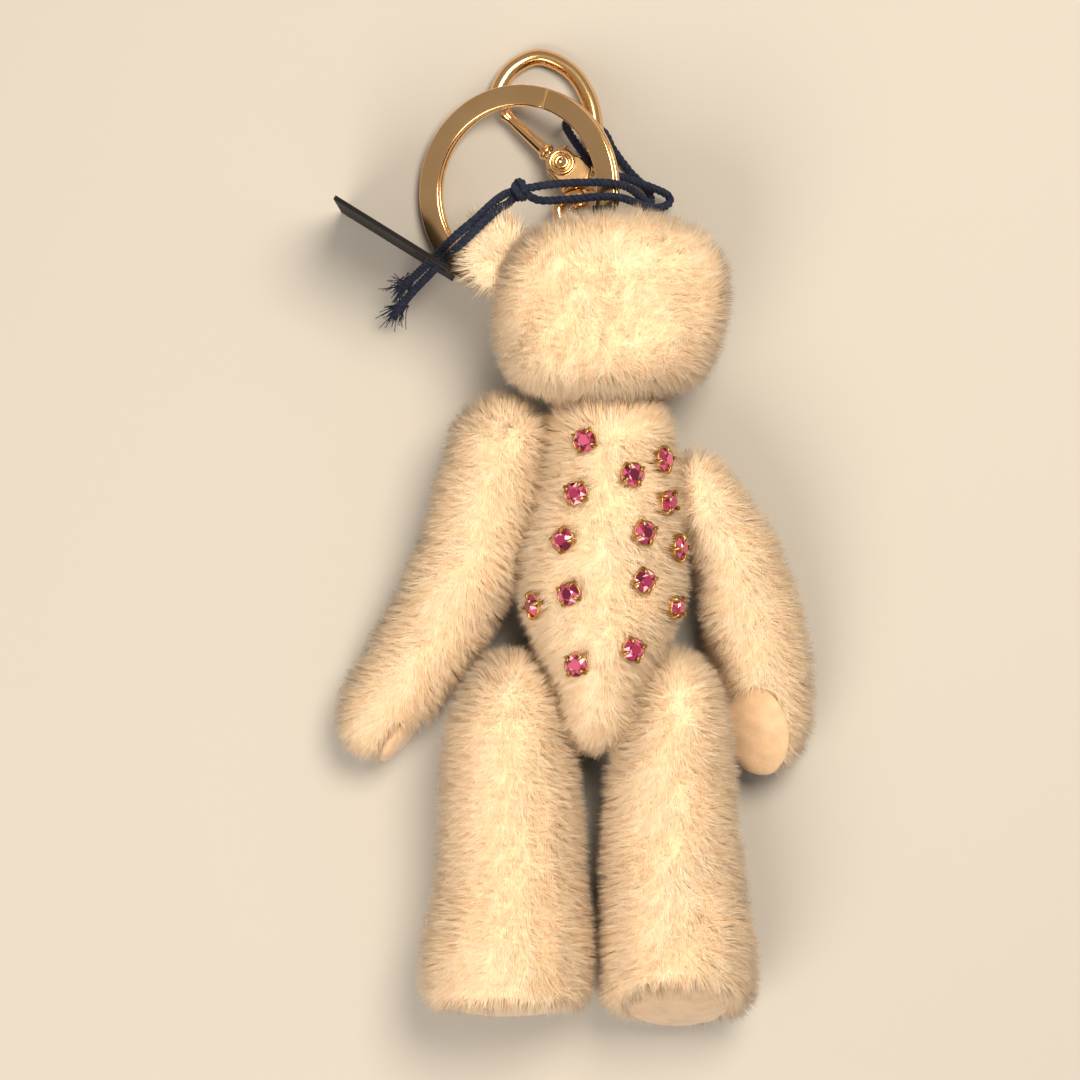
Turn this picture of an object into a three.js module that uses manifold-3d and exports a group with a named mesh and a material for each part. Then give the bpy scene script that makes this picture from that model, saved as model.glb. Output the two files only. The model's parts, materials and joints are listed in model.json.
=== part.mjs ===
// A mohair plush bear on a key charm, lying face down with its hardware laid out above its head.
// Millimetres. X runs across the bear, Y towards the key ring, Z up. The bear's back faces up.
import * as THREE from "three";
import { mergeVertices } from "three/addons/utils/BufferGeometryUtils.js";
import Module from "manifold-3d";

const wasm = await Module();
wasm.setup();

// ---------------------------------------------------------------- driving dimensions

// Places below are given from a datum in the middle of the bear's back; the group's position
// moves the origin under the centre of the bear and its metal hardware.
const ORIGIN = [-1.45, 1.07];
const GAP = 0.3; // between pieces that meet
const FINEST = 0.01;

// Bear
const NECK_AXIS = { x: 4.0, y: 20.9, z: 14.5 }; // the head turns about this line along Y
const HEAD_TURN = 14.5; // degrees the face looks aside
const TORSO_MID = { x: 2.5, z: 13.5 };
const SHOULDER = { left: [-5.6, 13.6, 14.0], right: [12.4, 5.5, 12.6] };
const HIP = { left: [-4.0, -21.3, 12.2], right: [7.6, -21.3, 12.2] };
const EYE_R = 1.4;

// Disc joints: a fibreboard disc on each side of the fabric, held by a cotter pin
const DISC_T = 1.0;
const PIN_R = 0.7;
const PIN_HEAD_R = 1.5;
const PIN_HEAD_T = 0.6;
const DISC_SIDES = 12;
const PIN_SIDES = 8;

// Rhinestones: chatons in four-prong settings
const STONE_R = 1.55;
const SETTING_R = 1.85;
const SETTING_H = 2.5;

// Key hardware
const RING = { outer: 15, inner: 12, leaf: 1.0, mid: [-9.3, 50.1, 6.62], tilt: 22 };
const LINK = { r: 5.8, wire: 0.75, mid: [2.6, 45.4, 9.9] };
const BAIL = { half: 3.2, length: 6.0, wire: 0.8, turn: -15 };
const CLASP = { mid: [-1.0, 49.3, 4.6], lean: 12.2, slope: -9.6, bar: 1.05, thick: 4.2 };
const PIVOT = [-1.2, 5.0];
const GATE_T = 1.5;
const TAB = { width: 3.2, t: 0.7, half: 1.95 };

// Tag and its cord
const CORD_R = 0.6;
const TAG = { length: 18.6, height: 25, t: 0.6, corner: [-34.5, 47.75], angle: -31.8, hole: 4.8 };

// ---------------------------------------------------------------- materials

const material = (color, roughness, metalness = 0) =>
  new THREE.MeshStandardMaterial({ color, roughness, metalness });
const plush = material(0xf3e2c6, 0.95);
const felt = material(0xe0bd8c, 0.9);
const gold = material(0xd9a24e, 0.22, 1);
const brass = material(0x9a7436, 0.4, 1);
const crystal = material(0xd0487f, 0.08);
const fibreboard = material(0x8a6a4a, 0.8);
const steel = material(0x9c9c9e, 0.4, 1);
const navy = material(0x1c2036, 0.9);
const black = material(0x0b0b0d, 0.6);
const leather = material(0x15151a, 0.55);

// ---------------------------------------------------------------- solids

const v3 = (x, y, z) => new THREE.Vector3(x, y, z);
const rad = THREE.MathUtils.degToRad;

function solid(geometry) {
  const bare = geometry.clone();
  for (const name of Object.keys(bare.attributes)) if (name !== "position") bare.deleteAttribute(name);
  const merged = mergeVertices(bare, 1e-4);
  return new wasm.Manifold(
    new wasm.Mesh({
      numProp: 3,
      vertProperties: merged.attributes.position.array,
      triVerts: new Uint32Array(merged.index.array),
    }),
  );
}

// Slivers narrower than FINEST are closed up.
function geometryOf(body) {
  const { vertProperties, triVerts, numVert, numProp } = body.asOriginal().simplify(FINEST).getMesh();
  const position = new Float32Array(numVert * 3);
  for (let i = 0; i < numVert; i++) {
    const from = i * numProp;
    position.set(vertProperties.subarray(from, from + 3), i * 3);
  }
  const geometry = new THREE.BufferGeometry();
  geometry.setAttribute("position", new THREE.BufferAttribute(position, 3));
  return geometry.setIndex(new THREE.BufferAttribute(triVerts, 1));
}

function cut(geometry, ...tools) {
  return geometryOf(tools.reduce((body, tool) => body.subtract(solid(tool)), solid(geometry)));
}

function join(...geometries) {
  return geometryOf(geometries.map(solid).reduce((a, b) => a.add(b)));
}

// Closed skin over rings of points, each ring turning left-handed about the way the rings go.
function skin(rings, start, end) {
  const sides = rings[0].length;
  const points = [...rings.flat(), start, end];
  const first = points.length - 2;
  const index = [];
  for (let i = 0; i < rings.length - 1; i++)
    for (let j = 0; j < sides; j++) {
      const a = i * sides + j;
      const b = i * sides + ((j + 1) % sides);
      index.push(a, b, b + sides, a, b + sides, a + sides);
    }
  const last = (rings.length - 1) * sides;
  for (let j = 0; j < sides; j++) {
    const next = (j + 1) % sides;
    index.push(first, next, j, first + 1, last + j, last + next);
  }
  const position = new Float32Array(points.flatMap((p) => [p.x, p.y, p.z]));
  const geometry = new THREE.BufferGeometry();
  geometry.setAttribute("position", new THREE.BufferAttribute(position, 3));
  return geometry.setIndex(index);
}

// Axes across and up a section, for a path going along t.
function sectionAxes(t, hint) {
  const up = hint.clone().addScaledVector(t, -hint.dot(t)).normalize();
  return [up.clone().cross(t), up];
}

// A stuffed form: elliptical sections along a smooth line, rounded off over its first and last stretch.
// stations: [[x, y, z], half width, half height]; round: how far from each tip the rounding reaches.
function stuffed(stations, { steps = 11, sides = 14, round = [8, 8], grow = 0, hint = v3(0, 0, 1) } = {}) {
  const line = new THREE.CatmullRomCurve3(stations.map(([at]) => v3(...at)));
  const size = new THREE.CatmullRomCurve3(stations.map(([, across, up]) => v3(across, up, 0)));
  const [tip, tail] = [line.getPoint(0), line.getPoint(1)];
  const dome = (d, reach) => Math.sqrt(1 - (1 - Math.min(d / reach, 1)) ** 2);
  const rings = [];
  for (let i = 1; i < steps; i++) {
    const t = (1 - Math.cos((Math.PI * i) / steps)) / 2;
    const at = line.getPoint(t);
    const [across, up] = sectionAxes(line.getTangent(t), hint);
    const narrow = dome(at.distanceTo(tip), round[0]) * dome(at.distanceTo(tail), round[1]);
    const half = size.getPoint(t).multiplyScalar(narrow);
    rings.push(
      Array.from({ length: sides }, (_, j) => {
        const a = (2 * Math.PI * j) / sides;
        return at
          .clone()
          .addScaledVector(across, (half.x + grow) * Math.cos(a))
          .addScaledVector(up, (half.y + grow) * Math.sin(a));
      }),
    );
  }
  tip.addScaledVector(line.getTangent(0), -grow);
  tail.addScaledVector(line.getTangent(1), grow);
  return skin(rings, tip, tail);
}

// A bar of constant section along a path. outline: [[across, up], ...] in counter-clockwise order.
function swept(path, outline, hint = v3(0, 0, 1)) {
  const rings = path.map((at, i) => {
    const t = path[Math.min(i + 1, path.length - 1)].clone().sub(path[Math.max(i - 1, 0)]).normalize();
    const [across, up] = sectionAxes(t, hint);
    return outline.map(([a, u]) => at.clone().addScaledVector(across, a).addScaledVector(up, u));
  });
  return skin(rings, path[0].clone(), path[path.length - 1].clone());
}

const circle = (r, sides) =>
  Array.from({ length: sides }, (_, j) => {
    const a = (2 * Math.PI * j) / sides;
    return [r * Math.cos(a), r * Math.sin(a)];
  });
const oblong = (w, h) => [[w / 2, -h / 2], [w / 2, h / 2], [-w / 2, h / 2], [-w / 2, -h / 2]];

// A round wire through hand-placed points.
function wire(points, r, steps = 24, sides = 8) {
  const section = new THREE.Shape(flat(circle(r, sides)));
  const extrudePath = new THREE.CatmullRomCurve3(points.map((p) => v3(...p)));
  return new THREE.ExtrudeGeometry(section, { steps, extrudePath });
}

const flat = (points) => points.map(([x, y]) => new THREE.Vector2(x, y));
const turned = (profile, sides) => new THREE.LatheGeometry(flat(profile), sides);
const torus = (r, wireR, around = 24, sides = 6) => new THREE.TorusGeometry(r, wireR, sides, around);
const rod = (r, length, sides = 10) => new THREE.CylinderGeometry(r, r, length, sides);
const ball = (rx, ry, rz, around = 12, down = 6) =>
  new THREE.SphereGeometry(1, around, down).scale(rx, ry, rz);

function add(parent, name, geometry, look) {
  const mesh = new THREE.Mesh(geometry, look);
  mesh.name = name;
  parent.add(mesh);
  return mesh;
}

// ---------------------------------------------------------------- disc joints

// Along each joint's axis, from the meeting of the two fabrics: disc centre and pin head on both sides.
const DISC_AT = 2.6;
const HEAD_AT = DISC_AT + DISC_T / 2 + 0.2 + PIN_HEAD_T / 2;

// Rods and discs are made along Y, then turned along X where the joint's axis runs across.
function alongAxis(geometry, distance, across) {
  geometry.translate(0, distance, 0);
  return across ? geometry.rotateZ(-Math.PI / 2) : geometry;
}

// The hollow in one side's filling: room for the disc and head, and the pin's hole out through the fabric.
function discPocket(at, discR, side, across) {
  const room = rod(discR + GAP, HEAD_AT + PIN_HEAD_T / 2 + GAP - (DISC_AT - DISC_T / 2 - GAP), DISC_SIDES);
  const middle = (HEAD_AT + PIN_HEAD_T / 2 + DISC_AT - DISC_T / 2) / 2;
  const hole = rod(PIN_R + GAP, 2 * DISC_AT, PIN_SIDES);
  const hollows = [alongAxis(room, side * middle, across), alongAxis(hole, 0, across)];
  return hollows.map((hollow) => hollow.translate(...at));
}

function jointDisc(at, discR, side, across) {
  const disc = cut(rod(discR, DISC_T, DISC_SIDES), rod(PIN_R + 0.2, 2 * DISC_T, PIN_SIDES));
  return alongAxis(disc, side * DISC_AT, across).translate(...at);
}

function cotterPin(at, across) {
  const shank = rod(PIN_R, 2 * HEAD_AT, PIN_SIDES);
  const pinHead = (side) => rod(PIN_HEAD_R, PIN_HEAD_T, PIN_SIDES).translate(0, side * HEAD_AT, 0);
  return alongAxis(join(shank, pinHead(-1), pinHead(1)), 0, across).translate(...at);
}

// ---------------------------------------------------------------- bear

const bear = new THREE.Group();

const NECK_R = 4.2;
const SHOULDER_R = { left: 3.2, right: 2.5 };
const HIP_R = 3.2;
const neckAt = [NECK_AXIS.x, NECK_AXIS.y, NECK_AXIS.z];

const torso = cut(
  stuffed(
    [
      [[4.0, 20.5, 14.3], 7.0, 7.0],
      [[3.4, 13, 14.0], 7.8, 8.8],
      [[2.8, 3, 13.6], 9.8, 10.4],
      [[2.3, -8, 13.4], 10.4, 10.4],
      [[1.9, -18, 12.8], 5.4, 9.2],
      [[1.8, -27.6, 12.4], 4.8, 7.0],
    ],
    { steps: 11, sides: 16, round: [3.5, 6] },
  ),
  ...discPocket(neckAt, NECK_R, -1, false),
  ...discPocket(SHOULDER.left, SHOULDER_R.left, 1, true),
  ...discPocket(SHOULDER.right, SHOULDER_R.right, -1, true),
  ...discPocket(HIP.left, HIP_R, 1, true),
  ...discPocket(HIP.right, HIP_R, -1, true),
);
add(bear, "torso", torso, plush);

const ARMS = {
  left: [
    [[-11.4, 19.8, 14.2], 5.4, 5.6],
    [[-12.2, 12.0, 14.0], 6.0, 6.2],
    [[-15.6, -0.5, 12.0], 6.1, 6.2],
    [[-20.6, -11.5, 9.4], 5.7, 5.8],
    [[-26.4, -20.0, 7.0], 5.2, 5.4],
    [[-32.0, -28.4, 5.8], 4.4, 4.8],
  ],
  right: [
    [[14.3, 12.0, 12.6], 3.2, 4.6],
    [[16.6, 6.4, 12.6], 3.9, 5.2],
    [[20.8, -0.2, 12.0], 4.4, 5.6],
    [[23.4, -9.5, 9.6], 5.5, 5.9],
    [[25.4, -19.5, 7.2], 5.4, 5.6],
    [[25.4, -31.0, 6.2], 4.9, 5.2],
  ],
};
const PADS = {
  left: { at: [-25.9, -27.0, 6.2], half: [5.6, 4.0], faces: [0.8, -0.56, 0.15] },
  right: { at: [24.2, -26.2, 9.9], half: [5.3, 6.9], faces: [-0.42, -0.3, 0.86] },
};
const LEGS = {
  left: [
    [[-9.8, -15.8, 12.6], 5.6, 8.0],
    [[-10.8, -24.5, 12.3], 7.0, 9.0],
    [[-10.4, -36, 12.0], 8.4, 9.0],
    [[-10.2, -47, 11.8], 8.8, 9.8],
    [[-10.8, -57, 11.6], 10.8, 11.4],
    [[-11.0, -68.0, 11.5], 10.8, 11.3],
  ],
  right: [
    [[12.4, -15.8, 12.6], 4.9, 7.8],
    [[12.9, -24.5, 12.3], 5.9, 8.8],
    [[11.9, -36, 12.0], 7.9, 8.8],
    [[12.2, -47, 11.8], 8.4, 9.6],
    [[13.0, -57, 11.6], 9.4, 11.4],
    [[13.0, -70.5, 11.5], 9.4, 11.3],
  ],
};
// Soles: where each foot is closed off, how far the felt bulges, and how far it tips towards the back.
const SOLES = { left: { y: -64.2, bulge: 2.0, tip: 6 }, right: { y: -64.3, bulge: 1.9, tip: 22 } };

for (const side of ["left", "right"]) {
  const out = side === "left" ? -1 : 1;

  // The felt pad is a shallow lens let into the paw's palm.
  const pad = PADS[side];
  const turn = new THREE.Quaternion().setFromUnitVectors(v3(0, 0, 1), v3(...pad.faces).normalize());
  const lens = (grow) =>
    ball(pad.half[0] + grow, pad.half[1] + grow, 1.3 + grow, 12, 6)
      .applyQuaternion(turn)
      .translate(...pad.at);
  const arm = stuffed(ARMS[side], { steps: 9, sides: 12, round: [6, 6] });
  const shoulderR = SHOULDER_R[side];
  add(bear, side + "_arm", cut(arm, ...discPocket(SHOULDER[side], shoulderR, out, true), lens(GAP)), plush);
  add(bear, side + "_paw_pad", lens(0), felt);

  // The sole closes the flat bottom of the foot.
  const leg = stuffed(LEGS[side], { steps: 10, sides: 14, round: [8, 6.5] });
  const [[footX, , footZ], footWide, footTall] = LEGS[side][5];
  const { y: soleY, bulge, tip } = SOLES[side];
  const below = new THREE.BoxGeometry(40, 20, 40).translate(0, -10, 0);
  below.rotateX(-rad(tip)).translate(footX, soleY, footZ);
  const sole = (grow) =>
    ball(footWide - 1.4 + grow, bulge + grow, footTall - 0.9 + grow, 14, 6)
      .rotateX(-rad(tip))
      .translate(footX, soleY, footZ);
  const trimmed = cut(leg, below, ...discPocket(HIP[side], HIP_R, out, true));
  add(bear, side + "_leg", cut(trimmed, sole(GAP)), plush);
  add(bear, side + "_foot_sole", sole(0), felt);

  add(bear, side + "_shoulder_pin", cotterPin(SHOULDER[side], true), steel);
  add(bear, side + "_shoulder_body_disc", jointDisc(SHOULDER[side], shoulderR, -out, true), fibreboard);
  add(bear, side + "_shoulder_arm_disc", jointDisc(SHOULDER[side], shoulderR, out, true), fibreboard);
  add(bear, side + "_hip_pin", cotterPin(HIP[side], true), steel);
  add(bear, side + "_hip_body_disc", jointDisc(HIP[side], HIP_R, -out, true), fibreboard);
  add(bear, side + "_hip_leg_disc", jointDisc(HIP[side], HIP_R, out, true), fibreboard);
}
add(bear, "neck_pin", cotterPin(neckAt, false), steel);
add(bear, "neck_body_disc", jointDisc(neckAt, NECK_R, -1, false), fibreboard);
add(bear, "neck_head_disc", jointDisc(neckAt, NECK_R, 1, false), fibreboard);

// ---------------------------------------------------------------- head

// Made about the neck's axis with the face looking along -Z, then turned aside.
const HEAD = [
  [[-1.0, 0.5, 0.6], 12.2, 8.6],
  [[-1.2, 6.0, 1.0], 14.0, 10.6],
  [[-1.3, 11.0, 2.0], 15.0, 10.8],
  [[-1.2, 16.5, 5.9], 14.8, 6.9],
  [[-1.2, 20.6, 5.6], 13.8, 6.6],
  [[-1.2, 23.7, 5.0], 11.5, 6.0],
];
const MUZZLE = [
  [[-1.2, 9.0, -2.0], 6.4, 5.8],
  [[-1.2, 8.6, -9.0], 6.2, 5.6],
  [[-1.2, 8.2, -13.8], 5.2, 4.4],
];
const headForm = (grow) =>
  join(
    stuffed(HEAD, { steps: 10, sides: 18, round: [3.5, 5.5], grow }),
    stuffed(MUZZLE, { steps: 5, sides: 10, round: [3, 4], grow, hint: v3(0, 1, 0) }),
  );
const EYES = { left: [-6.6, 13.4, -6.2], right: [4.2, 13.4, -6.2] };
const NOSE_AT = [-1.2, 9.6, -13.1];
const nose = (grow) => ball(2.1 + grow, 1.4 + grow, 0.75 + grow, 10, 6).rotateX(0.35).translate(...NOSE_AT);
const eye = (side, grow) => ball(EYE_R + grow, EYE_R + grow, EYE_R + grow, 10, 6).translate(...EYES[side]);

const EARS = {
  left: { at: [-17.3, 19.4, 1.6], turn: [0, 0, 0.1] },
  right: { at: [11.2, 18.2, -6.4], turn: [0.2, 0.72, -0.1] },
};
const ear = (side) => {
  const { at, turn } = EARS[side];
  const disc = ball(5.2, 5.7, 1.9, 12, 8).rotateX(turn[0]).rotateY(turn[1]).rotateZ(turn[2]);
  disc.translate(...at);
  return cut(disc, headForm(GAP), headForm(2 * GAP));
};

const head = new THREE.Group();
head.position.set(NECK_AXIS.x, NECK_AXIS.y, NECK_AXIS.z);
head.rotation.y = rad(HEAD_TURN);
bear.add(head);

// The tab's slot is cut along the row's axes, so it is turned back into the head's frame.
const tabTop = LINK.mid[2] + LINK.r;
const tabSlot = new THREE.BoxGeometry(TAB.width + 2 * GAP, 12, 2 * (TAB.half + GAP))
  .translate(LINK.mid[0] - NECK_AXIS.x, LINK.mid[1] - 4.2 - NECK_AXIS.y, tabTop - NECK_AXIS.z)
  .rotateY(-rad(HEAD_TURN));
const skull = cut(
  headForm(0),
  ...discPocket([0, 0, 0], NECK_R, 1, false),
  eye("left", 0.12),
  eye("right", 0.12),
  nose(0.12),
  tabSlot,
);
add(head, "head", skull, plush);
add(head, "left_ear", ear("left"), plush);
add(head, "right_ear", ear("right"), plush);
add(head, "left_eye", eye("left", 0), black);
add(head, "right_eye", eye("right", 0), black);
add(head, "nose", nose(0), black);

// ---------------------------------------------------------------- rhinestones

// Where each stone's foot stands on the back, from the datum, and which way it looks.
const STONES = [
  [0.0, 14.4], [5.8, 9.7], [-0.8, 7.1], [-2.2, 0.7], [7.1, 1.7], [-1.4, -6.7], [7.1, -4.9],
  [-6.0, -8.4], [-1.0, -16.5], [6.2, -14.4], [10.2, 11.8], [10.3, 5.9], [11.3, -0.4], [11.3, -8.6],
];
const STONE_LIFT = 0.45;

function stoneGeometry() {
  const girdle = SETTING_H * 0.72;
  const cup = turned([[0, 0], [1.1, 0], [SETTING_R, girdle], [1.5, girdle], [0, 0.5], [0, 0]], 8);
  const chaton = turned([[0, 0.4], [STONE_R, girdle], [0.85, SETTING_H], [0, SETTING_H]], 8);
  return join(cup, chaton);
}

// The torso's outer face under, or beside, a place on the back, and the way that face looks.
const torsoMesh = new THREE.Mesh(torso, new THREE.MeshBasicMaterial({ side: THREE.DoubleSide }));
const BACK_HALF = 9.6; // from the middle of the back to where its face looks sideways
function onBack(x, y) {
  const reach = Math.min(Math.abs(x - TORSO_MID.x) / BACK_HALF, 1);
  const lean = Math.asin(reach) * 0.92 * Math.sign(x - TORSO_MID.x);
  const way = v3(Math.sin(lean), 0, Math.cos(lean));
  const axis = v3(TORSO_MID.x, y, TORSO_MID.z);
  const from = axis.clone().addScaledVector(way, 40);
  const hit = new THREE.Raycaster(from, way.clone().negate()).intersectObject(torsoMesh)[0];
  return { foot: hit.point, way };
}
const oneStone = stoneGeometry();
STONES.forEach(([x, y], i) => {
  const { foot, way } = onBack(x, y);
  const stone = add(bear, "rhinestone_" + String(i + 1).padStart(2, "0"), oneStone, crystal);
  stone.position.copy(foot).addScaledVector(way, STONE_LIFT);
  stone.quaternion.setFromUnitVectors(v3(0, 1, 0), way);
});

// ---------------------------------------------------------------- tab, link, split ring

// A folded leather strap sewn into the crown, with the link through its eye.
function tabStrap() {
  const [x, y, z] = [LINK.mid[0], LINK.mid[1], tabTop];
  const half = TAB.half - TAB.t / 2;
  const inside = y - 6.5;
  const path = [v3(x, inside, z - half), v3(x, y - 2, z - half)];
  for (let i = 0; i <= 8; i++) {
    const a = -Math.PI / 2 + (Math.PI * i) / 8;
    path.push(v3(x, y + half * Math.cos(a), z + half * Math.sin(a)));
  }
  path.push(v3(x, y - 2, z + half), v3(x, inside, z + half));
  return swept(path, oblong(TAB.t, TAB.width), v3(1, 0, 0));
}
add(bear, "leather_tab", tabStrap(), leather);

add(bear, "link_ring", torus(LINK.r, LINK.wire, 24, 6).rotateX(Math.PI / 2).translate(...LINK.mid), gold);

// Two flat turns of wire that cross over where their ends meet.
function splitRing() {
  const turns = 2;
  const perTurn = 24;
  const cross = 20; // degrees over which the wire steps up a leaf
  const middle = (RING.outer + RING.inner) / 2;
  const path = [];
  for (let i = 0; i <= turns * perTurn; i++) {
    const a = (360 * i) / perTurn;
    const step = THREE.MathUtils.smoothstep(a, 360 - cross, 360);
    const at = rad(a + 75);
    path.push(v3(middle * Math.cos(at), middle * Math.sin(at), (step - 0.5) * (RING.leaf + 0.12)));
  }
  path.pop();
  return swept(path, oblong(RING.outer - RING.inner, RING.leaf));
}
const split = add(bear, "split_ring", splitRing(), gold);
split.position.set(...RING.mid);
split.rotation.y = -rad(RING.tilt);

// ---------------------------------------------------------------- clasp

// The bail is a rounded loop; the clasp's post turns in the boss on its top bar.
const BOSS_R = 1.75;
function rounded(left, right, bottom, top, r) {
  const shape = new THREE.Shape();
  shape.absarc(right - r, bottom + r, r, -Math.PI / 2, 0);
  shape.absarc(right - r, top - r, r, 0, Math.PI / 2);
  shape.absarc(left + r, top - r, r, Math.PI / 2, Math.PI);
  shape.absarc(left + r, bottom + r, r, Math.PI, 1.5 * Math.PI);
  return shape;
}
function bailLoop() {
  const { half, length, wire: r } = BAIL;
  const bevel = 0.35;
  const outline = rounded(-half - r + bevel, half + r - bevel, -length - r + bevel, r - bevel, 2);
  outline.holes.push(rounded(-half + r - bevel, half - r + bevel, -length + r - bevel, -r + bevel, 1.2));
  const loop = new THREE.ExtrudeGeometry(outline, {
    depth: 2 * (r - bevel),
    bevelThickness: bevel,
    bevelSize: bevel,
    bevelSegments: 1,
    curveSegments: 3,
  });
  return cut(join(loop.translate(0, 0, bevel - r), rod(BOSS_R, 2 * r, 12)), rod(1.25, 6, 12));
}

const clasp = new THREE.Group();
clasp.position.set(...CLASP.mid);
clasp.rotation.set(0, 0, rad(CLASP.lean));
const laid = new THREE.Group();
laid.rotation.x = rad(CLASP.slope);
clasp.add(laid);
bear.add(clasp);
add(laid, "clasp_bail", bailLoop(), gold).rotation.y = rad(BAIL.turn);

const PLATE_R = 2.2; // of the plate's round end, about the gate's rivet

// The plate that carries the gate: outlined in the clasp's plane, extruded through its thickness.
function claspPlate() {
  const [px, py] = PIVOT;
  const shape = new THREE.Shape();
  shape.moveTo(-1.9, 1.3);
  shape.lineTo(1.9, 1.3);
  shape.lineTo(2.9, 2.9);
  shape.lineTo(3.3, 4.6);
  shape.lineTo(px + 1.8, py + 0.6);
  shape.absarc(px, py, PLATE_R, 0.32, Math.PI + 0.25, false);
  shape.lineTo(-1.9, 1.3);
  const through = { depth: CLASP.thick, bevelEnabled: false, curveSegments: 10 };
  const plate = new THREE.ExtrudeGeometry(shape, through);
  return plate.translate(0, 0, -CLASP.thick / 2);
}

const HOOK_LINE = [
  [2.2, 3.2, 0], [3.9, 6.0, 0], [4.6, 9.6, 0], [4.6, 14.0, 0], [2.9, 18.4, 0],
  [-0.9, 21.3, 0], [-4.9, 20.6, 0], [-7.5, 18.2, 0], [-8.1, 16.1, 0],
];
const bell = turned([[0, 0.95], [1.5, 0.95], [1.9, 1.2], [1.7, 2.6], [0, 2.6]], 14);
const post = rod(0.9, 3.4, 10).translate(0, -0.1, 0);
const postHead = rod(1.6, 0.7, 10).translate(0, -1.45, 0);
const gateSlot = rod(PLATE_R + 0.45, GATE_T + 0.4, 20).rotateX(Math.PI / 2).translate(...PIVOT, 0);
const rivetHole = rod(0.75, 10, 12).rotateX(Math.PI / 2).translate(...PIVOT, 0);
const SPRING_AT = [0.75, 2.9];
const springBore = rod(0.62, 1.9, 10).translate(SPRING_AT[0], SPRING_AT[1], 0);
const hook = cut(
  join(claspPlate(), wire(HOOK_LINE, CLASP.bar, 20), bell, post, postHead),
  gateSlot,
  rivetHole,
  springBore,
);
add(laid, "clasp_hook", hook, gold);

const GATE_TIP = [-7.8, 14.7];
function gateLever() {
  const [px, py] = PIVOT;
  const way = v3(GATE_TIP[0] - px, GATE_TIP[1] - py, 0);
  const long = way.length();
  const lever = new THREE.CylinderGeometry(0.62, 0.74, long - 0.6, 10).translate(0, long / 2 + 0.3, 0);
  const turn = new THREE.Quaternion().setFromUnitVectors(v3(0, 1, 0), way.normalize());
  lever.applyQuaternion(turn).translate(px, py, 0);
  const eyeRing = rod(1.5, GATE_T, 14).rotateX(Math.PI / 2).translate(px, py, 0);
  const spur = new THREE.Shape(flat([[px - 0.2, py + 1.0], [px + 1.1, py + 0.7], [px + 1.25, py + 2.6]]));
  const fin = new THREE.ExtrudeGeometry(spur, { depth: 1.2, bevelEnabled: false }).translate(0, 0, -0.6);
  return cut(join(lever, eyeRing, fin), rod(0.8, 4, 12).rotateX(Math.PI / 2).translate(px, py, 0));
}
add(laid, "clasp_gate", gateLever(), gold);

const rivet = join(
  rod(0.55, CLASP.thick + 0.6, 12),
  rod(1.05, 0.4, 12).translate(0, CLASP.thick / 2 + 0.3, 0),
  rod(1.05, 0.4, 12).translate(0, -CLASP.thick / 2 - 0.3, 0),
);
add(laid, "clasp_rivet", rivet.rotateX(Math.PI / 2).translate(...PIVOT, 0), gold);

function gateSpring() {
  const [turns, perTurn, r, length] = [3, 7, 0.36, 1.3];
  const path = Array.from({ length: turns * perTurn + 1 }, (_, i) => {
    const a = (2 * Math.PI * i) / perTurn;
    return v3(r * Math.cos(a), -length / 2 + (length * i) / (turns * perTurn), r * Math.sin(a));
  });
  return swept(path, circle(0.12, 4), v3(0, 1, 0)).translate(SPRING_AT[0], SPRING_AT[1], 0);
}
add(laid, "gate_spring", gateSpring(), steel);

// ---------------------------------------------------------------- tag and cord

// Two tails leave the knot side by side and run over the ear, through the tag's hole.
const KNOT_AT = [-9.2, 49.2, 17.6];
const LOOP = [
  [-7.9, 49.6, 17.4], [-4.6, 50.2, 16.6], [-0.6, 50.5, 15.8], [3.4, 50.5, 15.0], [6.2, 50.0, 12.4],
  [8.4, 48.6, 8.2], [9.4, 48.2, 4.4], [9.2, 50.4, 1.8], [6.6, 53.2, 1.0], [4.2, 56.4, 0.9],
  [2.8, 59.0, 0.8], [0.6, 60.3, 0.8], [-1.6, 60.6, 1.7], [-2.6, 59.7, 3.8], [-1.5, 57.4, 5.9],
  [0.3, 54.9, 6.9], [2.6, 53.0, 7.4], [5.2, 52.0, 7.3], [8.6, 51.0, 5.6], [11.6, 49.9, 3.6],
  [12.2, 48.9, 3.2], [11.2, 48.0, 4.4], [8.9, 47.6, 8.2], [7.2, 47.9, 12.4], [4.9, 48.4, 15.8],
  [1.6, 48.4, 17.4], [-2.6, 48.0, 17.6], [-6.2, 47.9, 17.4], [-8.0, 48.6, 17.5],
];
const TAILS = {
  upper: [
    [-10.9, 48.8, 18.2], [-12.6, 47.4, 21.4], [-15.2, 44.8, 23.6], [-17.8, 42.7, 23.3], [-20.3, 40.6, 19.6],
    [-22.2, 39.0, 15.6], [-24.0, 37.6, 12.2], [-25.4, 36.6, 9.8],
  ],
  lower: [
    [-10.6, 47.5, 18.0], [-12.0, 46.4, 21.6], [-14.4, 44.0, 24.4], [-17.0, 41.6, 23.6], [-19.6, 39.6, 19.2],
    [-21.6, 37.9, 15.0], [-24.2, 35.6, 10.4], [-26.2, 33.6, 6.4],
  ],
};
add(bear, "tag_cord_loop", wire(LOOP, CORD_R, 52), navy);
for (const which of ["upper", "lower"])
  add(bear, "tag_cord_tail_" + which, wire(TAILS[which], CORD_R, 12), navy);
add(bear, "tag_cord_knot", ball(1.0, 1.3, 1.3, 10, 6).translate(...KNOT_AT), navy);

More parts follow.
